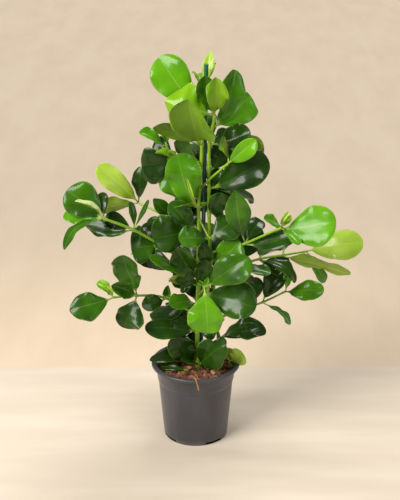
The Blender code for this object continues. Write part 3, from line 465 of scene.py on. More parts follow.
addShoot("side_stem", "main_stem", (3.6, 2.8), [
    (4, -4, 232), (17.5, -8, 268), (27, -4, 348), (26.5, -4, 400), (25, -3, 455), (24.5, -3, 504),
    (24, -2, 536), (25.5, -2, 588), (31, -2, 620), (34, -2, 638),
], [
    leaf(2, (53, -26, 62), 57, (0, -0.9, 0.5), 6, 8, 34, wave=1.6),
    leaf(2, (30, 90, 50), 58, (0, 0.2, 1), 8, 10, 10),
    leaf(2, (-13, -26, 55), 30, (0, -0.9, 0.5), 5, 10, 10),
    leaf(4, (35, 15, 40), 50, (0, -1, 0.3), 5, 8, 0),
    leaf(4, (60, 60, 5), 58, (0.1, 0.2, 1), 8, 8, 10),
    leaf(4, (-22, 53, 14), 46, (0, -0.9, 0.3), 4, 8, 0),
    leaf(4, (28, 23, -5), 36, (0, -0.9, 0.4), 4, 8, 10),
    leaf(4, (21, -33, 51), 42, (0.3, -1, 0.3), 5, 10, 10),
    leaf(5, (103, -22, 62), 77, (-0.05, -1, 0.45), 6, 8, 10),
    leaf(5, (85, 18, -24), 50, (0, -0.2, 1), 6, 8, 0),
    leaf(5, (36, 14, 26), 36, (0, -0.9, 0.5), 3, 6, 10),
    leaf(5, (13, 17, 36), 34, (-0.3, -1, 0.4), 5, 12, 10),
    leaf(6, (31, 22, 49), 45, (0.2, -1, 0.3), 5, 8, 0),
    leaf(6, (45, 75, 30), 54, (0, 0.2, 1), 8, 10, 15),
    leaf(7, (72, -14, 28), 52, (0, -0.75, 0.7), -5, 14, 10, wave=1.5),
    leaf(7, (36, 4, 24), 34, (0, -0.9, 0.5), 3, 6, 10),
    leaf(7, (-10, 90, 35), 58, (0, 0.2, 1), 8, 10, 30),
    leaf(8, (40, 7, 102), 55, (0.6, -1, 0.3), 6, 15, 38, wave=1.2),
    leaf(8, (70, 40, 48), 63, (0.2, -1, 0.3), 6, 10, 42),
    leaf(9, (-16, -10, 77), 45, (0, -1, 0.2), -8, 20, 30),
    leaf(9, (2, -32, 81), 50, (0.4, -1, 0.4), 5, 18, 73, point=0.3, skew=-0.3),
    leaf(9, (-86, -16, 33), 88, (0.1, -1, 0.15), 12, -10, 63, point=0.5, wave=2.2),
])
addShoot("right_branch", "side_stem", (2.8, 2.2), [
    (26.7, -4, 378), (60, -16, 392), (92, -30, 408), (152, -55, 447),
], [
    leaf(2, (-22, -34, 111), 50, (-0.1, -1, 0.3), 4, 10, 25, point=0.5),
    leaf(2, (87, -34, 26), 42, (0, -0.7, 0.8), 3, 8, 5, wave=0.8),
    leaf(2, (31, 40, 34), 34, (0, -0.8, 0.6), 5, 10, 10),
    leaf(3, (96, -34, 25), 78, (-0.3, -0.8, 0.58), 5, 8, 50, wave=0.6),
    leaf(3, (12, -14, 35), 18, (-0.5, -1, 0.3), 5, 35, 90),
    leaf(3, (20, 0, 24), 22, (0, -1, 0.3), 5, 30, 90),
    leaf(3, (-30, -44, 36), 30, (0.2, -0.7, 0.8), 5, 15, 52),
    leaf(3, (32, -44, -13), 28, (0.4, -0.7, 0.8), 5, 15, 50),
])
addShoot("lower_right_branch", "side_stem", (2.8, 2), [
    (25.5, -4, 322), (70, 18, 339), (121, 35, 350), (167, 45, 354), (207, 50, 359),
], [
    leaf(1, (70, -28, 3), 36, (0, -0.2, 1), 5, 10, 20),
    leaf(1, (10, 64, 30), 46, (0, -0.7, 0.7), 5, 10, 0),
    leaf(1, (48, 30, 73), 50, (0, -0.9, 0.3), 4, 8, 0),
    leaf(1, (32, 18, -52), 46, (0, -0.9, 0.4), 5, 10, 5),
    leaf(2, (68, -25, -36), 34, (0, -0.3, 1), 28, 10, 5),
    leaf(2, (40, 78, -8), 52, (0, 0.2, 1), 8, 10, 20),
    leaf(2, (61, 15, -29), 46, (0, -0.8, 0.6), 6, 10, 5),
    leaf(2, (49, 25, -40), 40, (0, -0.7, 0.8), 5, 12, 10),
    leaf(3, (73, -30, -12), 36, (0.1, 0.8, 0.25), 5, 10, 72, point=0.3),
    leaf(3, (15, 75, 20), 48, (0, 0.2, 1), 8, 10, 30),
    leaf(4, (102, -38, 36), 62, (0, -0.8, 0.7), 5, 6, 90, wave=0.7),
    leaf(4, (89, -8, -41), 26, (0, 0.8, 0.35), -8, 10, 85),
    leaf(4, (46, 10, -70), 24, (0.3, -1, 0.3), 5, 10, 35),
])
addShoot("low_stem", None, (3.6, 2.6), [
    (55, 22, 75), (44.5, 18, 193), (33.5, 15, 228), (34, 22, 270), (36, 32, 315),
], [
    leaf(1, (82, -36, 38), 52, (0, -0.6, 1), 20, 10, 5, wave=1.5),
    leaf(1, (72, -44, 44), 28, (0.1, -0.8, 0.6), 3, 10, 10),
    leaf(4, (70, 10, 18), 48, (0, -0.6, 0.8), 6, 10, 0),
    leaf(4, (55, 70, 5), 54, (0.1, 0.2, 1), 8, 10, 10),
    leaf(4, (22, 85, 45), 54, (0, 0.2, 1), 8, 10, 10),
], green=0.25)
addShoot("bottom_right_branch", "low_stem", (2.4, 1.8), [
    (33.5, 15, 232), (78, 22, 246.5), (129.5, 35, 260.5), (169, 50, 274),
], [
    leaf(1, (45, 20, 60), 40, (0, -0.9, 0.4), 5, 10, 0),
    leaf(1, (30, 60, -10), 48, (0, 0.2, 1), 8, 10, 10),
    leaf(2, (34, -14, 73), 46, (-0.5, -1, 0.3), 5, 12, 0),
    leaf(2, (55, -20, -32), 34, (0, 0.1, 1), 10, 10, 30),
    leaf(3, (4, -44, 70), 28, (0.5, -0.9, 0.1), 5, 15, 42),
    leaf(3, (73, -34, 20), 46, (0, -0.7, 0.8), 6, 10, 36),
], green=0.35)
addShoot("rear_branch", "low_stem", (2.6, 2), [
    (34, 20, 262), (30, 75, 288), (22, 130, 300), (12, 172, 302),
], [
    leaf(1, (60, 50, -10), 50, (0, 0.1, 1), 8, 10, 10),
    leaf(1, (-36, 50, 22), 46, (-0.2, 0.2, 1), 8, 10, 10),
    leaf(2, (58, 55, 18), 52, (0.1, 0.2, 1), 8, 10, 10),
    leaf(2, (-52, 40, 18), 50, (-0.1, 0.2, 1), 8, 10, 20),
    leaf(2, (4, 30, 75), 46, (0, 1, 0.2), 8, 10, 20),
    leaf(3, (46, 65, 10), 50, (0.1, 0.2, 1), 8, 10, 40),
    leaf(3, (-40, 62, 12), 46, (-0.1, 0.2, 1), 8, 10, 50),
    leaf(3, (4, 40, 55), 36, (0, 1, 0.2), 8, 15, 70),
    leaf(3, (2, 78, -34), 44, (0, 0.3, 1), 15, 10, 30),
], green=0.3)
addShoot("upper_rear_branch", "main_stem", (2.2, 1.8), [
    (6, -1, 478), (-6, 45, 500), (-10, 90, 514),
], [
    leaf(1, (-56, 36, -8), 46, (0, 0.1, 1), 8, 10, 20),
    leaf(1, (54, 44, 4), 46, (0, 0.1, 1), 8, 10, 20),
    leaf(2, (-42, 55, -10), 44, (0, 0.2, 1), 8, 10, 40),
    leaf(2, (38, 60, -12), 44, (0, 0.2, 1), 8, 10, 50),
    leaf(2, (-2, 70, 20), 34, (0, 0.1, 1), 8, 15, 70),
])
addShoot("sucker", None, (1.8, 1.6), [
    (63, -2, 110), (64, -4, 150),
], [
    leaf(1, (25, -6, 24), 45, (0.2, -1, 0.3), 5, 15, 86, wave=0.8),
    leaf(1, (-2, 6, 29), 34, (-0.2, -1, 0.3), 5, 15, 80),
], green=0.7)
fallenLeaf = {
    "start": (-0.014, -0.027, 0.1450),
    "leaf": leaf(0, (-54, 12, 5), 18, (-0.3, -0.6, 0.8), 5, 8, 2),
}
growth = {
    "gap": 0.0003,              # between a stem and what clasps it
    "collarWall": 0.0020,
    "collarBite": 0.65,
    "budRadius": 0.0032,
    "budLength": 1.2,
    "budBite": 0.3,
    "stepsOfSolid": 3,          # the solids follow the same curve with this many steps to a stretch
    "steps": 9,
    "seed": 11,
    "twist": 0.12,              # the most that a blade turns on its way to its tip, in radians
}


def smoothRoute(nodes, steps):
    # A curve through every node, with this many steps to a stretch.
    nodes = [Vector(node) for node in nodes]
    padded = [2 * nodes[0] - nodes[1], *nodes, 2 * nodes[-1] - nodes[-2]]
    points = []
    for before, start, end, after in zip(padded, padded[1:], padded[2:], padded[3:]):
        for step in range(steps):
            t = step / steps
            swing = (2 * before - 5 * start + 4 * end - after) * t**2
            turn = (3 * start - before - 3 * end + after) * t**3
            points.append(0.5 * (2 * start + (end - before) * t + swing + turn))
    return points + [nodes[-1]]


def directionAt(shoot, index):
    points = smoothRoute(shoot["route"], growth["stepsOfSolid"])
    place = index * growth["stepsOfSolid"]
    return (points[min(place + 1, len(points) - 1)] - points[max(place - 1, 0)]).normalized()


def radiusAt(shoot, index):
    # A stem thins evenly from node to node.
    first, last = shoot["radii"]
    return first + (last - first) * index / (len(shoot["route"]) - 1)


# leaves: one tree makes every blade from a point that carries its plan

leafSizes = {
    "Steps Along": 26,
    "Steps Round": 22,
    "Stalk Share": 0.10,
    "Stalk Width": 0.0030,
    "Stalk Depth": 0.0026,
    "Blade Depth": 0.0011,
    "Rib Depth": 0.0013,
    "Rib Width": 0.0019,
    "Shoulder": 0.35,           # how far the midrib leans out before it turns to its tip
    "Broadest": 1.38,           # a higher value sets the broadest place nearer the tip
    "Roundness": 0.46,          # a lower value gives a rounder outline
    "Lopsided": 0.30,
    "Waves": 11.0,
    "Ripples": 19.0,
    "Wave Height": 0.11,
    "Margin Curl": 0.17,
    "Tip Curl": 0.15,
    "Fold Share": 1.8,
    "Most Fold": 1.15,
    "Crease": 0.005,            # how soft the fold is at the midrib
}
leafVectors = ("start", "chord", "lift", "out", "face")
leafNumbers = ("width", "arch", "fold", "point", "twist", "wave", "skew")


def buildLeafTree():
    tree, sizes = newTree("leaf blades", leafSizes)
    tube = addNode(tree, "GeometryNodeMeshCylinder", {"fill_type": "NGON"}, **{
        "Radius": 1.0,
        "Depth": 1.0,
        "Side Segments": sizes["Steps Along"],
        "Vertices": sizes["Steps Round"],
    })
    place = Wire(addNode(tree, "GeometryNodeInputPosition").outputs[0])
    along = number("SINE", (axisOf(place, "Z") + 0.5) * (math.pi / 2))  # closer steps towards the tip
    blank = Wire(tube.outputs["Mesh"])
    for name, value in (("along", along), ("across", axisOf(place, "X")), ("skin", axisOf(place, "Y"))):
        blank = store(blank, name, value)
    leaves = through("GeometryNodeInstanceOnPoints", sizes["Geometry"], port="Points", Instance=blank)
    leaves = through("GeometryNodeRealizeInstances", leaves)

    start, chord, lift, out, face = (named(tree, name, "FLOAT_VECTOR") for name in leafVectors)
    width, arch, fold, point, twist, waving, skew = (named(tree, name) for name in leafNumbers)
    u, s, skin, seed = (named(tree, name) for name in ("along", "across", "skin", "seed"))
    length = vector("LENGTH", chord)
    tipSeed = number("FRACT", seed * 7.3)
    left = 1.0 - u

    # the midrib: straight to the tip, bowed towards the face, and leaning out from the stem first
    bow = lift * (arch * 4.0 * u * left - sizes["Tip Curl"] * tipSeed * u * u * u)
    lean = out * (sizes["Shoulder"] * u * left * left)
    centre = start + chord * u + (bow + lean) * length
    bowing = lift * (arch * 4.0 * (1.0 - 2.0 * u) - sizes["Tip Curl"] * tipSeed * 3.0 * u * u)
    leaning = out * (sizes["Shoulder"] * (left * left - 2.0 * u * left))
    forward = vector("NORMALIZE", chord + (bowing + leaning) * length)
    up = vector("NORMALIZE", face - vector("PROJECT", face, forward))
    side = vector("CROSS_PRODUCT", forward, up)
    turn = twist * u
    cosine, sine = number("COSINE", turn), number("SINE", turn)
    sideways = side * cosine + up * sine
    upwards = up * cosine - side * sine

    # the outline: a stalk, then a blade that is broadest beyond its middle, or lower down if it is pointed
    blade = number("MAXIMUM", (u - sizes["Stalk Share"]) / (1.0 - sizes["Stalk Share"]), 0.0)
    broadest = sizes["Broadest"] - 0.38 * point + (1.0 - point) * 0.26 * tipSeed
    roundness = sizes["Roundness"] + 0.64 * point
    swell = number("MAXIMUM", number("SINE", blade**broadest * math.pi), 0.0)
    stalk = sizes["Stalk Width"] * 0.5 * number("MAXIMUM", 1.0 - 1.6 * blade, 0.0)
    lopsided = 1.0 + (seed - 0.5) * sizes["Lopsided"] * s
    half = number("MAXIMUM", stalk, width * 0.5 * swell**roundness * lopsided)

    # the halves fold up from the midrib, and the margins curl back a little and wave, each in its own way
    opened = ease(blade, 0.0, 0.22)
    angle = number("MINIMUM", fold * sizes["Fold Share"], sizes["Most Fold"]) * opened
    level, steep = number("COSINE", angle), number("SINE", angle)
    soft = number("SQRT", s * s + sizes["Crease"])
    rise = half * (steep * (soft - 0.07) - sizes["Margin Curl"] * opened * s * s * s * s)
    wave = number("SINE", u * sizes["Waves"] + seed * 40.0 + s * 1.7)
    wave = wave + 0.6 * number("SINE", u * sizes["Ripples"] - seed * 23.0)
    rise = rise + half * (sizes["Wave Height"] * waving * opened * s * s * wave)

    # the thickness: round in the stalk, thin in the blade, with a rib under it and a groove on it
    isTop = number("GREATER_THAN", skin, 0.0)
    grooved = isTop * (1.0 - 1.25 * ease(blade, 0.02, 0.20)) + (1.0 - isTop)
    ribHalf = sizes["Stalk Depth"] * 0.5 * left + sizes["Rib Depth"] * 0.25 * u
    ribHalf = ribHalf * hump(s * half / sizes["Rib Width"]) * grooved
    ribHalf = ribHalf * number("MAXIMUM", 1.0 - u**4.0, 0.0)
    sheet = skin * sizes["Blade Depth"] * 0.5 * opened * number("MAXIMUM", 1.0 - u**6.0, 0.0)

    spread = s * half * level - sheet * steep * s / soft
    ahead = forward * (skew * spread * opened)
    place = centre + sideways * spread + upwards * (rise + sheet * level + skin * ribHalf) + ahead
    leaves = through("GeometryNodeSetPosition", leaves, Position=place)
    leaves = through("GeometryNodeMergeByDistance", leaves, Distance=0.00002)
    return endTree(leaves, sizes)


def buildLeafMaterial():
    material, place = newMaterial("leaf", **{
        "Coat Weight": 0.34, "Coat Roughness": 0.14, "Specular IOR Level": 0.13,
    })
    labels = ("along", "across", "skin", "tone", "seed", "girth")
    along, across, skin, tone, seed, girth = (attributeOf(place.tree, label) for label in labels)
    under = ease(skin, 0.05, -0.05)
    mottle = noise(place, 42.0, 3.0)
    cloud = noise(place, 16.0, 1.0)
    age = tone + (mottle - 0.5) * 0.16 + (cloud - 0.5) * 0.34 + (seed - 0.5) * 0.10
    upper = ramp(age * 0.8, [
        (0.00, (0.009, 0.034, 0.002)),
        (0.16, (0.022, 0.085, 0.002)),
        (0.34, (0.068, 0.245, 0.002)),
        (0.48, (0.125, 0.380, 0.003)),
        (0.61, (0.255, 0.450, 0.006)),
        (0.80, (0.430, 0.620, 0.085)),
        (1.00, (0.740, 0.800, 0.480)),
    ])
    lower = ramp(age, [
        (0.00, (0.050, 0.110, 0.012)),
        (0.45, (0.145, 0.285, 0.010)),
        (1.00, (0.340, 0.440, 0.070)),
    ])
    colour = mix(under, upper, lower)

    # side veins: fine pale lines that leave the midrib at a slant
    edge = number("ABSOLUTE", across)
    slant = along * 22.0 - edge * 6.5 + (mottle - 0.5) * 0.8
    lines = number("PINGPONG", slant, 0.5) * 2.0
    veins = ease(lines, 0.80, 1.0) * ease(edge, 0.02, 0.12) * ease(along, 0.10, 0.2)
    paler = mix(age * 0.6 + 0.4, (0.10, 0.24, 0.03), (0.42, 0.62, 0.10))
    colour = mix(veins * 0.07, colour, paler)

    # the midrib and the stalk are yellow-green, and the margin is a thin pale line
    rib = hump(across * girth / (0.0017 - 0.0012 * along)) * (0.10 + 0.50 * age)
    ribColour = mix(age, (0.170, 0.330, 0.030), (0.580, 0.720, 0.180))
    colour = mix(number("MAXIMUM", rib, ease(along, 0.16, 0.08)), colour, ribColour)
    margin = ease(edge, 0.94, 0.985) * ease(along, 0.12, 0.2)
    colour = mix(margin * 0.55, colour, ribColour)
    height = lines * ease(girth, 0.012, 0.030) * 0.09 + noise(place, 30.0, 1.5) * 1.6 + mottle * 0.3
    return finished(material, colour, height, 0.0016, 0.6, rough=0.20 + mottle * 0.16 + under * 0.26)


def growLeaves(name, leaves, starts, tips, outs):
    # leaves are plans, and the other lists say where each starts, ends and leans out.
    chords = [tip - start for start, tip in zip(starts, tips)]
    faces = [Vector(plan["face"]) for plan in leaves]
    vectors = {
        "start": starts,
        "chord": chords,
        "lift": [(face - face.project(chord)).normalized() for face, chord in zip(faces, chords)],
        "out": outs,
        "face": faces,
    }
    labels = ("width", "arch", "fold", "point", "tone", "wave", "skew")
    numbers = {label: [plan[label] for plan in leaves] for label in labels}
    numbers["girth"] = [plan["width"] / 2 for plan in leaves]
    numbers["seed"] = [chance.random() for plan in leaves]
    numbers["twist"] = [chance.uniform(-growth["twist"], growth["twist"]) for plan in leaves]
    mesh = pointMesh(name, starts, [], numbers, vectors)
    return grow(name, mesh, leafTree, leafMaterial, leafSizes, leafVectors + leafNumbers)


def leavesOfNode(name, shoot, index, leaves):
    # Each blade starts just off the stem, or at the bud where the shoot ends.
    node = Vector(shoot["route"][index])
    direction = directionAt(shoot, index)
    if index == len(shoot["route"]) - 1:
        centre = node + direction * (growth["budRadius"] * growth["budLength"] + growth["gap"])
        clearance = growth["budRadius"] * growth["budBite"]
    else:
        centre = node
        clearance = growth["gap"] + growth["collarWall"] * growth["collarBite"] + radiusAt(shoot, index) / 2
    tips = [node + Vector(plan["reach"]) for plan in leaves]
    chords = [tip - centre for tip in tips]
    outs = [(chord - chord.project(direction)).normalized() for chord in chords]
    return growLeaves(name, leaves, [centre + out * clearance for out in outs], tips, outs)


def finishPiece(piece, *nodes):
    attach(piece, body)
    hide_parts(*nodes)


chance = random.Random(growth["seed"])
leafTree = buildLeafTree()
leafMaterial = buildLeafMaterial()
for shootName, shoot in shoots.items():
    for index, leaves in shoot["leaves"].items():
        node = f"{shootName}_leaves_{index}"
        finishPiece(leavesOfNode(f"leaves_{shootName}_{index}", shoot, index, leaves), node)
start, reach = Vector(fallenLeaf["start"]), Vector(fallenLeaf["leaf"]["reach"])
dropped = growLeaves("dropped_leaf", [fallenLeaf["leaf"]], [start], [start + reach], [reach.normalized()])
finishPiece(dropped, "fallen_leaf")
print("leaves grown")


# stems: one tree sweeps every shoot, and swells it where leaves grow

stemSizes = {"Steps Round": 16}
stemPlan = {
    "swelling": 0.30,           # how much wider a stem is where leaves grow
    "swellingReach": 0.0036,
    "scar": 0.0011,             # half the height of the ring that old leaves leave
    "greening": 0.6,            # how far a stem turns young towards its end
    "tipRadius": 0.0019,        # of the growing tip at least
    # the growing tip past the last node: how far on, and how wide beside its radius
    "tip": [
        (0.0012, 1.16), (0.0024, 1.08), (0.0036, 1.04), (0.0047, 0.96),
        (0.0057, 0.78), (0.0065, 0.54), (0.0071, 0.28), (0.0074, 0.06),
    ],
}


def buildStemTree():
    tree, sizes = newTree("stems", stemSizes)
    curve = through("GeometryNodeMeshToCurve", sizes["Geometry"], port="Mesh")
    ring = addNode(tree, "GeometryNodeCurvePrimitiveCircle", Radius=1.0, Resolution=sizes["Steps Round"])
    swept = through("GeometryNodeCurveToMesh", curve, port="Curve", **{
        "Profile Curve": Wire(ring.outputs["Curve"]),
        "Scale": named(tree, "girth"),
        "Fill Caps": True,
    })
    return endTree(swept, sizes)


def buildStemMaterial():
    material, place = newMaterial("green stem", **{"Roughness": 0.4, "Coat Weight": 0.12})
    node, age = attributeOf(place.tree, "node"), attributeOf(place.tree, "age")
    streaks = noise(place * (260.0, 260.0, 26.0), 1.0, 3.0)
    cloud = noise(place, 30.0, 2.0)
    colour = ramp(age + (streaks - 0.5) * 0.35 + (cloud - 0.5) * 0.25, [
        (0.00, (0.060, 0.095, 0.012)),
        (0.30, (0.090, 0.190, 0.006)),
        (0.65, (0.170, 0.340, 0.006)),
        (1.00, (0.330, 0.540, 0.020)),
    ])
    return finished(material, mix(node * 0.5, colour, (0.27, 0.34, 0.07)), streaks + cloud, 0.0006, 0.5)


def shootPath(shoot):
    # The points of a shoot's stem, with the radius, the leaf scar and the age at each.
    points = smoothRoute(shoot["route"], growth["steps"])
    first, last = shoot["radii"]
    places = [Vector(shoot["route"][index]) for index in shoot["leaves"]]
    girths, scars, ages = [], [], []
    for index, point in enumerate(points):
        share = index / (len(points) - 1)
        near = min((point - place).length for place in places)
        swelling = math.exp(-(near / stemPlan["swellingReach"]) ** 2)
        girths.append((first + (last - first) * share) * (1 + stemPlan["swelling"] * swelling))
        scars.append(math.exp(-(near / stemPlan["scar"]) ** 2))
        ages.append(shoot["green"] + (1 - shoot["green"]) * share * stemPlan["greening"])
    end = len(shoot["route"]) - 1
    for distance, share in stemPlan["tip"]:
        points.append(Vector(shoot["route"][end]) + directionAt(shoot, end) * distance)
        girths.append(max(last, stemPlan["tipRadius"]) * share)
        scars.append(0.0)
        ages.append(ages[-1])
    return points, girths, scars, ages


def rootOf(name):
    # The stem in the mix that a shoot grows from.
    return name if shoots[name]["parent"] is None else rootOf(shoots[name]["parent"])


def growStem(name, shootNames):
    # The stem that stands in the mix and all that branches from it, as one piece.
    points, edges, girths, scars, ages = [], [], [], [], []
    for shootName in shootNames:
        route = shootPath(shoots[shootName])
        edges += [(len(points) + i, len(points) + j) for i, j in path(route[0])]
        for everything, part in zip((points, girths, scars, ages), route):
            everything += part
    mesh = pointMesh(name, points, edges, {"girth": girths, "node": scars, "age": ages})
    return grow(name, mesh, stemTree, stemMaterial, stemSizes)


stemTree = buildStemTree()
stemMaterial = buildStemMaterial()
for node in ("main_stem", "low_stem", "sucker"):
    finishPiece(growStem(f"stem_{node}", [name for name in shoots if rootOf(name) == node]), node)
print("stems swept")


# the pot: one wall turned from its outside and inside profiles

pot = {
    "height": 0.1535,
    "rimRadius": 0.0850,
    "rimDepth": 0.0065,
    "rimInner": 0.0772,
    "bandTop": 0.0762,
    "bandFoot": 0.0735,
    "bandFootHeight": 0.1190,
    "step": 0.0016,
    "crease": 0.0045,           # the fine groove lies this far under the step
    "creaseDepth": 0.00035,
    "baseRadius": 0.0616,
    "wall": 0.0018,
    "floor": 0.0035,
    "soft": 0.0010,             # the round at the foot
    "roll": 0.0026,             # the round of the rim's top
    "lip": 0.0016,              # the round of the rim's underside
    "sides": 144,
    "notches": 4,
    "notchStart": -55,
    "notchAngle": 34,
    "notchHeight": 0.0056,
    "notchInner": 0.0530,
    "notchOuter": 0.08,         # past the wall, so that the notch is open to the side
    "notchFoot": -0.01,         # and past the base
}


def arc(middle, radius, first, last, steps=5):
    # Points on part of a circle in a profile, with angles in degrees.
    turns = [math.radians(first + (last - first) * i / steps) for i in range(steps + 1)]
    return [(middle[0] + radius * math.cos(turn), middle[1] + radius * math.sin(turn)) for turn in turns]


def turned(profile, sides):
    bm = bmesh.new()
    verts = [bm.verts.new((radius, 0.0, height)) for radius, height in profile]
    edges = [bm.edges.new(pair) for pair in zip(verts, verts[1:])]
    bmesh.ops.spin(bm, geom=verts + edges, cent=(0, 0, 0), axis=(0, 0, 1), angle=math.tau, steps=sides)
    bmesh.ops.remove_doubles(bm, verts=bm.verts, dist=0.00001)
    return bm


def wallRadius(height):
    # The outside of the tapered wall under the step.
    top = pot["bandFoot"] - pot["step"]
    return pot["baseRadius"] + (top - pot["baseRadius"]) * height / pot["bandFootHeight"]


def potProfile():
    soft, roll, lip, wall, band = (pot[name] for name in ("soft", "roll", "lip", "wall", "bandFoot"))
    foot = pot["bandFootHeight"] - pot["step"]
    groove = foot - pot["crease"]
    under = pot["height"] - pot["rimDepth"]
    outside = [(0.0, 0.0), (pot["notchInner"] - 0.004, 0.0)]
    outside += arc((pot["baseRadius"] - soft, soft), soft, -90, 0)
    outside += [(wallRadius(groove * share), groove * share) for share in (0.25, 0.5, 0.75)]
    for rise, depth in ((-2, 0.0), (-1, 0.25), (0, 1.0), (1, 0.25), (2, 0.0)):
        height = groove + rise * 0.0005
        outside.append((wallRadius(height) - pot["creaseDepth"] * depth, height))
    outside += [
        (wallRadius(foot) - 0.0001, foot), (band - 0.0011, foot + 0.0008),
        (band - 0.0002, foot + 0.0020), (band, foot + 2 * pot["step"]),
        (pot["bandTop"], under - 0.0009), (pot["bandTop"] + 0.0005, under),
        (pot["rimRadius"] - 0.0020, under),
    ]
    outside += arc((pot["rimRadius"] - lip, under + lip), lip, -90, 0)
    outside += arc((pot["rimRadius"] - roll, pot["height"] - roll), roll, 0, 90)
    return outside + [
        (pot["rimInner"] + 0.0012, pot["height"] - 0.0001),
        (pot["rimInner"] + 0.0002, pot["height"] - 0.0010),
        (pot["bandTop"] - wall, under),
        (band - wall, pot["bandFootHeight"] + pot["step"]),
        (band - pot["step"] - wall, foot),
        (wallRadius(pot["floor"]) - wall, pot["floor"]),
        (0.0, pot["floor"]),
    ]


def notchCutter(number):
    # A curved block that cuts one drainage notch through the foot.
    middle = math.radians(-90 + pot["notchStart"]) + math.tau * number / pot["notches"]
    spread = math.radians(pot["notchAngle"])
    inner, outer, foot, top = (pot[f"notch{part}"] for part in ("Inner", "Outer", "Foot", "Height"))
    bm = bmesh.new()
    rings = []
    for step in range(13):
        turn = middle + spread * (step / 12 - 0.5)
        reach = Vector((math.cos(turn), math.sin(turn), 0))
        corners = ((inner, foot), (outer, foot), (outer, top), (inner, top))
        rings.append([bm.verts.new(reach * radius + Vector((0, 0, height))) for radius, height in corners])
    for low, high in zip(rings, rings[1:]):
        for i in range(4):
            bm.faces.new((low[i], low[(i + 1) % 4], high[(i + 1) % 4], high[i]))
    bm.faces.new(rings[0])
    bm.faces.new(rings[-1])
    return meshObject(f"notch_{number}", bm, potMaterial)


def buildPotMaterial():
    material, place = newMaterial("pot plastic", **{
        "Specular IOR Level": 0.62, "Sheen Weight": 0.30, "Sheen Roughness": 0.32,
    })
    grain = noise(place, 900.0, 2.0)
    dust = noise(place * (1.0, 1.0, 0.35), 34.0, 4.0)
    scuff = noise(place * (1.0, 1.0, 14.0), 16.0, 5.0, 0.7)
    height = axisOf(place, "Z")
    rim = ease(height, pot["height"] - 0.0052, pot["height"] - 0.0012)
    # painted shade: the notches' inner faces near the foot are painted near black, as shade falls inside
    # the foot
    notchShade = ease(fromAxis(place), pot["baseRadius"] - 0.0004, pot["baseRadius"] - 0.0020)
    notchShade = notchShade * ease(height, pot["notchHeight"] + 0.0006, pot["notchHeight"] + 0.0001)
    colour = mix(ease(dust, 0.40, 0.72), (0.0385, 0.0378, 0.0485), (0.053, 0.0515, 0.063))
    for share, other in (
        (ease(scuff, 0.56, 0.80) * 0.45, (0.085, 0.081, 0.086)),
        (rim * (0.25 + dust * 0.5), (0.055, 0.059, 0.074)),
        (ease(height, 0.012, 0.0) * dust * 0.6, (0.22, 0.19, 0.16)),
        # painted shade in the notches
        (notchShade * 0.9, (0.006, 0.0055, 0.006)),
    ):
        colour = mix(share, colour, other)
    rough = 0.27 + dust * 0.16 + grain * 0.06
    return finished(material, colour, grain * 0.4 + scuff * 0.5, 0.00025, 0.35, rough)


potMaterial = buildPotMaterial()
potPiece = meshObject("nursery_pot", turned(potProfile(), pot["sides"]), potMaterial)
cutters = [notchCutter(number) for number in range(pot["notches"])]
for cutter in cutters:
    modifier = potPiece.modifiers.new(cutter.name, "BOOLEAN")
    modifier.operation = "DIFFERENCE"
    modifier.solver = "EXACT"
    modifier.object = cutter
graph = bpy.context.evaluated_depsgraph_get()
cutMesh = bpy.data.meshes.new_from_object(potPiece.evaluated_get(graph))
potPiece.modifiers.clear()
potPiece.data = cutMesh
for cutter in cutters:
    bpy.data.objects.remove(cutter)
cutMesh.shade_smooth()
cutMesh.set_sharp_from_angle(angle=math.radians(40))
finishPiece(potPiece, "pot")
print("pot turned")


# the bark mix: a dark bed, and loose crumbs, chips and fibres that a tree scatters on it

mixPlan = {
    "height": 0.1372,
    "radius": 0.0716,
    "skirtFoot": 0.110,         # the bed's edge goes down to here, out of sight
    "rings": 22,
    "sides": 72,
    "waves": 0.00192,           # how far its mounds rise and fall
}
# shape is width and depth beside the length, detail the points along each edge, and sizes as named first
chipSizes = ("Density", "Length", "Least", "Tilt", "Ruggedness", "Sink", "Reach", "Lowest", "Seed")
chipKinds = {
    "bark_crumbs": {
        "shape": (0.72, 0.50), "detail": (2, 2, 2),
        "sizes": (80000.0, 0.0086, 0.35, 1.1, 0.45, 0.0004, 0.0728, 0.131, 3),
    },
    "bark_chips": {
        "shape": (0.55, 0.30), "detail": (4, 3, 3),
        "sizes": (11000.0, 0.0230, 0.40, 0.60, 0.30, -0.0008, 0.0722, 0.131, 8),
    },
    "bark_fibres": {
        "shape": (0.09, 0.09), "detail": (5, 2, 2),
        "sizes": (9000.0, 0.0160, 0.35, 0.55, 0.25, -0.0014, 0.0722, 0.131, 21),
    },
}


def mixHeight(x, y):
    # A few slow waves that cross each other.
    waves = math.sin(310 * x + 1.3) * math.cos(270 * y + 0.4) + 0.6 * math.sin(190 * (x - y))
    return mixPlan["height"] + mixPlan["waves"] * waves


def buildBed():
    bm = bmesh.new()
    count = mixPlan["sides"]
    rows = []
    for ring in range(1, mixPlan["rings"] + 1):
        radius = mixPlan["radius"] * ring / mixPlan["rings"]
        turns = [math.tau * side / count for side in range(count)]
        places = [(radius * math.cos(turn), radius * math.sin(turn)) for turn in turns]
        rows.append([bm.verts.new((x, y, mixHeight(x, y))) for x, y in places])
    middle = bm.verts.new((0, 0, mixHeight(0, 0)))
    skirt = [bm.verts.new((v.co.x * 0.97, v.co.y * 0.97, mixPlan["skirtFoot"])) for v in rows[-1]]
    for i in range(count):
        bm.faces.new((middle, rows[0][i], rows[0][(i + 1) % count]))
    for low, high in zip(rows, rows[1:] + [skirt]):
        for i in range(count):
            bm.faces.new((low[i], high[i], high[(i + 1) % count], low[(i + 1) % count]))
    bm.faces.new(skirt)
    return meshObject("mix_bed", bm, barkMaterial)


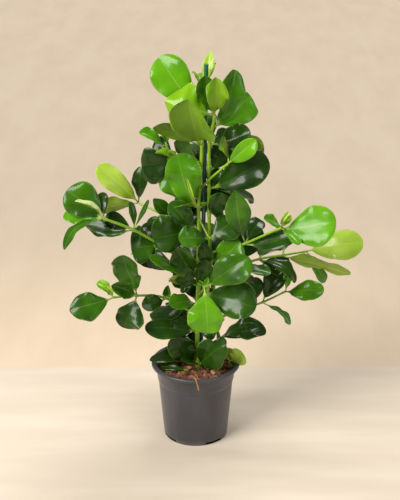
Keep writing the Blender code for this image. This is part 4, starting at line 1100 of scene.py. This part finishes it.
def growChips(name, kind, bed):
    # Scatters rough little blocks over the top of the bed, and keeps them inside the pot.
    values = dict(zip(chipSizes, kind["sizes"]))
    tree, sizes = newTree(name, values)
    place = Wire(addNode(tree, "GeometryNodeInputPosition").outputs[0])
    isTop = number("GREATER_THAN", axisOf(place, "Z"), sizes["Lowest"])
    top = through("GeometryNodeSeparateGeometry", sizes["Geometry"], {"domain": "FACE"}, Selection=isTop)
    scattered = through(
        "GeometryNodeDistributePointsOnFaces", top, {"distribute_method": "RANDOM"}, port="Mesh",
        Density=sizes["Density"], Seed=sizes["Seed"],
    )
    block = addNode(tree, "GeometryNodeMeshCube", Size=(1.0, *kind["shape"]))
    for axis, count in zip("XYZ", kind["detail"]):
        block.inputs[f"Vertices {axis}"].default_value = count
    turn = randomIn(tree, (-1.0, -1.0, 0.0), (1.0, 1.0, math.tau), 31)
    tilt = turn * joined(tree, sizes["Tilt"], sizes["Tilt"], 1.0)
    grown = randomIn(tree, 0.0, 1.0, 47)
    scale = sizes["Length"] * (sizes["Least"] + (1.0 - sizes["Least"]) * grown * grown)
    chips = through("GeometryNodeInstanceOnPoints", scattered, port="Points", **{
        "Instance": Wire(block.outputs["Mesh"]),
        "Rotation": Wire(addNode(tree, "FunctionNodeEulerToRotation", Euler=tilt).outputs["Rotation"]),
        "Scale": joined(tree, scale, scale * randomIn(tree, 0.7, 1.3, 5), scale),
    })
    chips = store(chips, "tint", randomIn(tree, 0.0, 1.0, 12), "INSTANCE")
    chips = store(chips, "scale", scale, "INSTANCE")
    chips = through("GeometryNodeRealizeInstances", chips)
    rough = addNode(tree, "ShaderNodeTexNoise", Vector=place, Scale=330.0, Detail=2.0)
    shove = Wire(rough.outputs["Color"]) - (0.5, 0.5, 0.5)
    shove = shove * (named(tree, "scale") * sizes["Ruggedness"] * 2.0)
    lifted = joined(tree, 0.0, 0.0, 0.0 - sizes["Sink"])
    chips = through("GeometryNodeSetPosition", chips, Offset=shove + lifted)
    inward = number("MINIMUM", sizes["Reach"] / fromAxis(place), 1.0)
    chips = through("GeometryNodeSetPosition", chips, Position=place * joined(tree, inward, inward, 1.0))
    tree = endTree(chips, sizes, smooth=False)
    return grow(name, bed.data.copy(), tree, barkMaterial, values, ("scale",))


def buildBarkMaterial():
    material, place = newMaterial("bark mix", **{"Roughness": 0.9, "Specular IOR Level": 0.25})
    fine = noise(place, 420.0, 4.0, 0.65)
    broad = noise(place, 60.0, 2.0)
    fibres = noise(place * (900.0, 200.0, 500.0), 1.0, 3.0)
    # painted shade: the mix is painted darker low down between the chips and lighter on the high tops
    relief = ease(axisOf(place, "Z"), 0.1355, 0.1430)
    tint = attributeOf(place.tree, "tint")
    light = tint * 0.45 + relief * 0.42 + (fine - 0.5) * 0.60 + (broad - 0.5) * 0.25
    colour = ramp(light, [
        (0.00, (0.014, 0.006, 0.004)),
        (0.28, (0.105, 0.040, 0.020)),
        (0.55, (0.210, 0.092, 0.048)),
        (0.80, (0.360, 0.180, 0.098)),
        (1.00, (0.500, 0.290, 0.175)),
    ])
    return finished(material, colour, fine + fibres * 0.8, 0.0008, 0.8)


barkMaterial = buildBarkMaterial()
bed = buildBed()
for piece in (bed, *[growChips(name, kind, bed) for name, kind in chipKinds.items()]):
    finishPiece(piece, "bark_mix")
print("bark mix scattered")


# the stake and the loose root

stake = {
    "radius": 0.0040,
    "foot": (0.0080, 0.0065, 0.0200),
    "top": (0.0195, 0.0065, 0.7330),
    "dome": 0.0016,
    "steps": 60,
}
looseRoot = {
    "radius": 0.0017,
    "taper": 0.35,
    "knots": 0.15,              # how far it thins between its knots
    "route": [
        (-0.005, -0.058, 0.1320), (-0.004, -0.063, 0.1430), (-0.003, -0.071, 0.1520),
        (-0.001, -0.079, 0.1554), (0.001, -0.0856, 0.1544), (0.003, -0.0870, 0.1480),
        (0.006, -0.0864, 0.1340),
    ],
}


def buildStakeMaterial():
    material, place = newMaterial("stake coating", **{
        "Roughness": 0.34, "Coat Weight": 0.2, "Coat Roughness": 0.2,
    })
    streaks = noise(place * (500.0, 500.0, 18.0), 1.0, 3.0)
    cloud = noise(place, 45.0, 3.0)
    colour = mix(streaks, (0.005, 0.075, 0.048), (0.018, 0.150, 0.098))
    colour = mix(ease(cloud, 0.55, 0.78) * 0.4, colour, (0.060, 0.190, 0.140))
    return finished(material, colour, streaks + cloud, 0.0003, 0.4)


def buildRootMaterial():
    material, place = newMaterial("root bark", Roughness=0.7)
    fine = noise(place, 500.0, 4.0)
    colour = ramp(fine, [
        (0.25, (0.270, 0.095, 0.018)),
        (0.55, (0.560, 0.255, 0.050)),
        (0.80, (0.720, 0.430, 0.150)),
    ])
    return finished(material, colour, fine, 0.0006, 0.8)


def growRod(name, points, girths, material, sides):
    mesh = pointMesh(name, points, path(points), {"girth": girths})
    return grow(name, mesh, stemTree, material, {"Steps Round": sides})


def buildStake():
    foot, top = Vector(stake["foot"]), Vector(stake["top"])
    points = [foot + (top - foot) * i / stake["steps"] for i in range(stake["steps"])]
    girths = [stake["radius"]] * stake["steps"]
    for angle in range(0, 91, 18):
        turn = math.radians(angle)
        points.append(top - (top - foot).normalized() * stake["dome"] * (1 - math.sin(turn)))
        girths.append(stake["radius"] - stake["dome"] * (1 - math.cos(turn)))
    return growRod("stake_rod", points, girths, buildStakeMaterial(), 24)


def buildRoot():
    points = smoothRoute(looseRoot["route"], 8)
    girths = []
    for index in range(len(points)):
        knots = 1 - looseRoot["knots"] + looseRoot["knots"] * math.sin(index * 1.9) * math.sin(index * 0.7)
        girths.append(looseRoot["radius"] * (1 - looseRoot["taper"] * index / len(points)) * knots)
    return growRod("root_strand", points, girths, buildRootMaterial(), 12)


finishPiece(buildStake(), "stake")
finishPiece(buildRoot(), "loose_root")
print("stake and root made")


# floor, light and camera

view = {
    "place": (0.0083, -2.2, 1.274),
    "pitch": 22.06,
    "lens": 92.0,
    "sensor": 36.0,
}
ground = {
    "half": 90.0,
    "back": 0.27,               # behind this line the ground takes the wall's colour
    "blend": 0.006,             # and half the width over which it does
    "far": 1.60,                # from here on it is a backdrop
    "lit": ((0.68, 0.588, 0.478), (0.74, 0.648, 0.538)),
    "wall": ((0.70, 0.57, 0.42), (0.75, 0.61, 0.46)),
}
# each lamp stands at its place and looks at the plant's middle
lamps = {
    "window": {"place": (-1.5, -1.3, 1.9), "size": (1.4, 1.4), "power": 79.0, "colour": (1.0, 0.965, 0.91)},
    "skylight": {"place": (0.5, 0.9, 2.3), "size": (1.2, 0.7), "power": 30.0, "colour": (1.0, 0.98, 0.95)},
    "fill": {"place": (1.9, -1.5, 1.2), "size": (1.2, 1.2), "power": 13.0, "colour": (0.95, 0.98, 1.0)},
}
lampTarget = (0, 0, 0.4)
# the light from all round, and what the camera meets past the end of the ground
allRound = {"lit": (0.25, 0.241, 0.2225), "seen": (0.76, 0.63, 0.48)}


def buildFloor():
    # Further back the ground is a pale backdrop that gives its own light to the camera and to reflections.
    bm = bmesh.new()
    half = ground["half"]
    bm.faces.new([bm.verts.new((x * half, y * half, 0)) for x, y in ((-1, -1), (1, -1), (1, 1), (-1, 1))])
    material, place = newMaterial("pale ground", **{"Roughness": 0.9, "Specular IOR Level": 0.15})
    depth = axisOf(place, "Y")
    around = vector("LENGTH", place)
    grain = noise(place * (1.0, 6.0, 1.0), 2.6, 3.0)
    plaster = noise(place * (1.0, 0.3, 1.0), 9.0, 5.0, 0.6)
    wallShare = ease(depth, ground["back"] - ground["blend"], ground["back"] + ground["blend"])
    near = mix(ease(grain, 0.35, 0.7), *ground["lit"])
    colour = mix(wallShare, near, mix(ease(plaster, 0.3, 0.7), *ground["wall"]))
    behind = ease(depth, ground["back"], ground["far"])
    far = number("MAXIMUM", behind, ease(around, ground["far"], 2.2 * ground["far"]))
    # painted shadow: inside the pot's footprint the ground is painted nearly black, the shade under the
    # hollow foot that shows through the notches
    shadeUnderPot = ease(around, pot["baseRadius"] - 0.0002, pot["baseRadius"] - 0.0022)
    rays = addNode(place.tree, "ShaderNodeLightPath")
    kinds = ("Camera", "Glossy", "Transmission")
    camera, glossy, inside = (Wire(rays.outputs[f"Is {kind} Ray"]) for kind in kinds)
    plug(colour * (1.0 - far) * (1.0 - shadeUnderPot * 0.97), surfaceOf(material)["Base Color"])
    plug(colour, surfaceOf(material)["Emission Color"])
    plug(far * camera + behind * (glossy + inside), surfaceOf(material)["Emission Strength"])
    return meshObject("ground", bm, material)


def addLamp(name, plan):
    lamp = bpy.data.lights.new(name, "AREA")
    lamp.shape = "RECTANGLE"
    lamp.size, lamp.size_y = plan["size"]
    lamp.energy = plan["power"]
    lamp.color = plan["colour"]
    obj = addObject(name, lamp)
    obj.location = plan["place"]
    obj.rotation_euler = (Vector(lampTarget) - Vector(plan["place"])).to_track_quat("-Z", "Y").to_euler()


def setWorld():
    world = bpy.data.worlds.new("studio")
    world.use_nodes = True
    camera = Wire(addNode(world.node_tree, "ShaderNodeLightPath").outputs["Is Camera Ray"])
    colour = mix(camera, allRound["lit"], allRound["seen"])
    plug(colour, world.node_tree.nodes["Background"].inputs["Color"])
    bpy.context.scene.world = world


def addCamera():
    camera = bpy.data.cameras.new("camera")
    camera.lens = view["lens"]
    camera.sensor_width = view["sensor"]
    obj = addObject("camera", camera)
    obj.location = view["place"]
    obj.rotation_euler = (math.radians(90 - view["pitch"]), 0.0, 0.0)
    bpy.context.scene.camera = obj


buildFloor()
setWorld()
for name, plan in lamps.items():
    addLamp(name, plan)
addCamera()
bpy.context.scene.view_settings.view_transform = "Standard"
print("studio set")
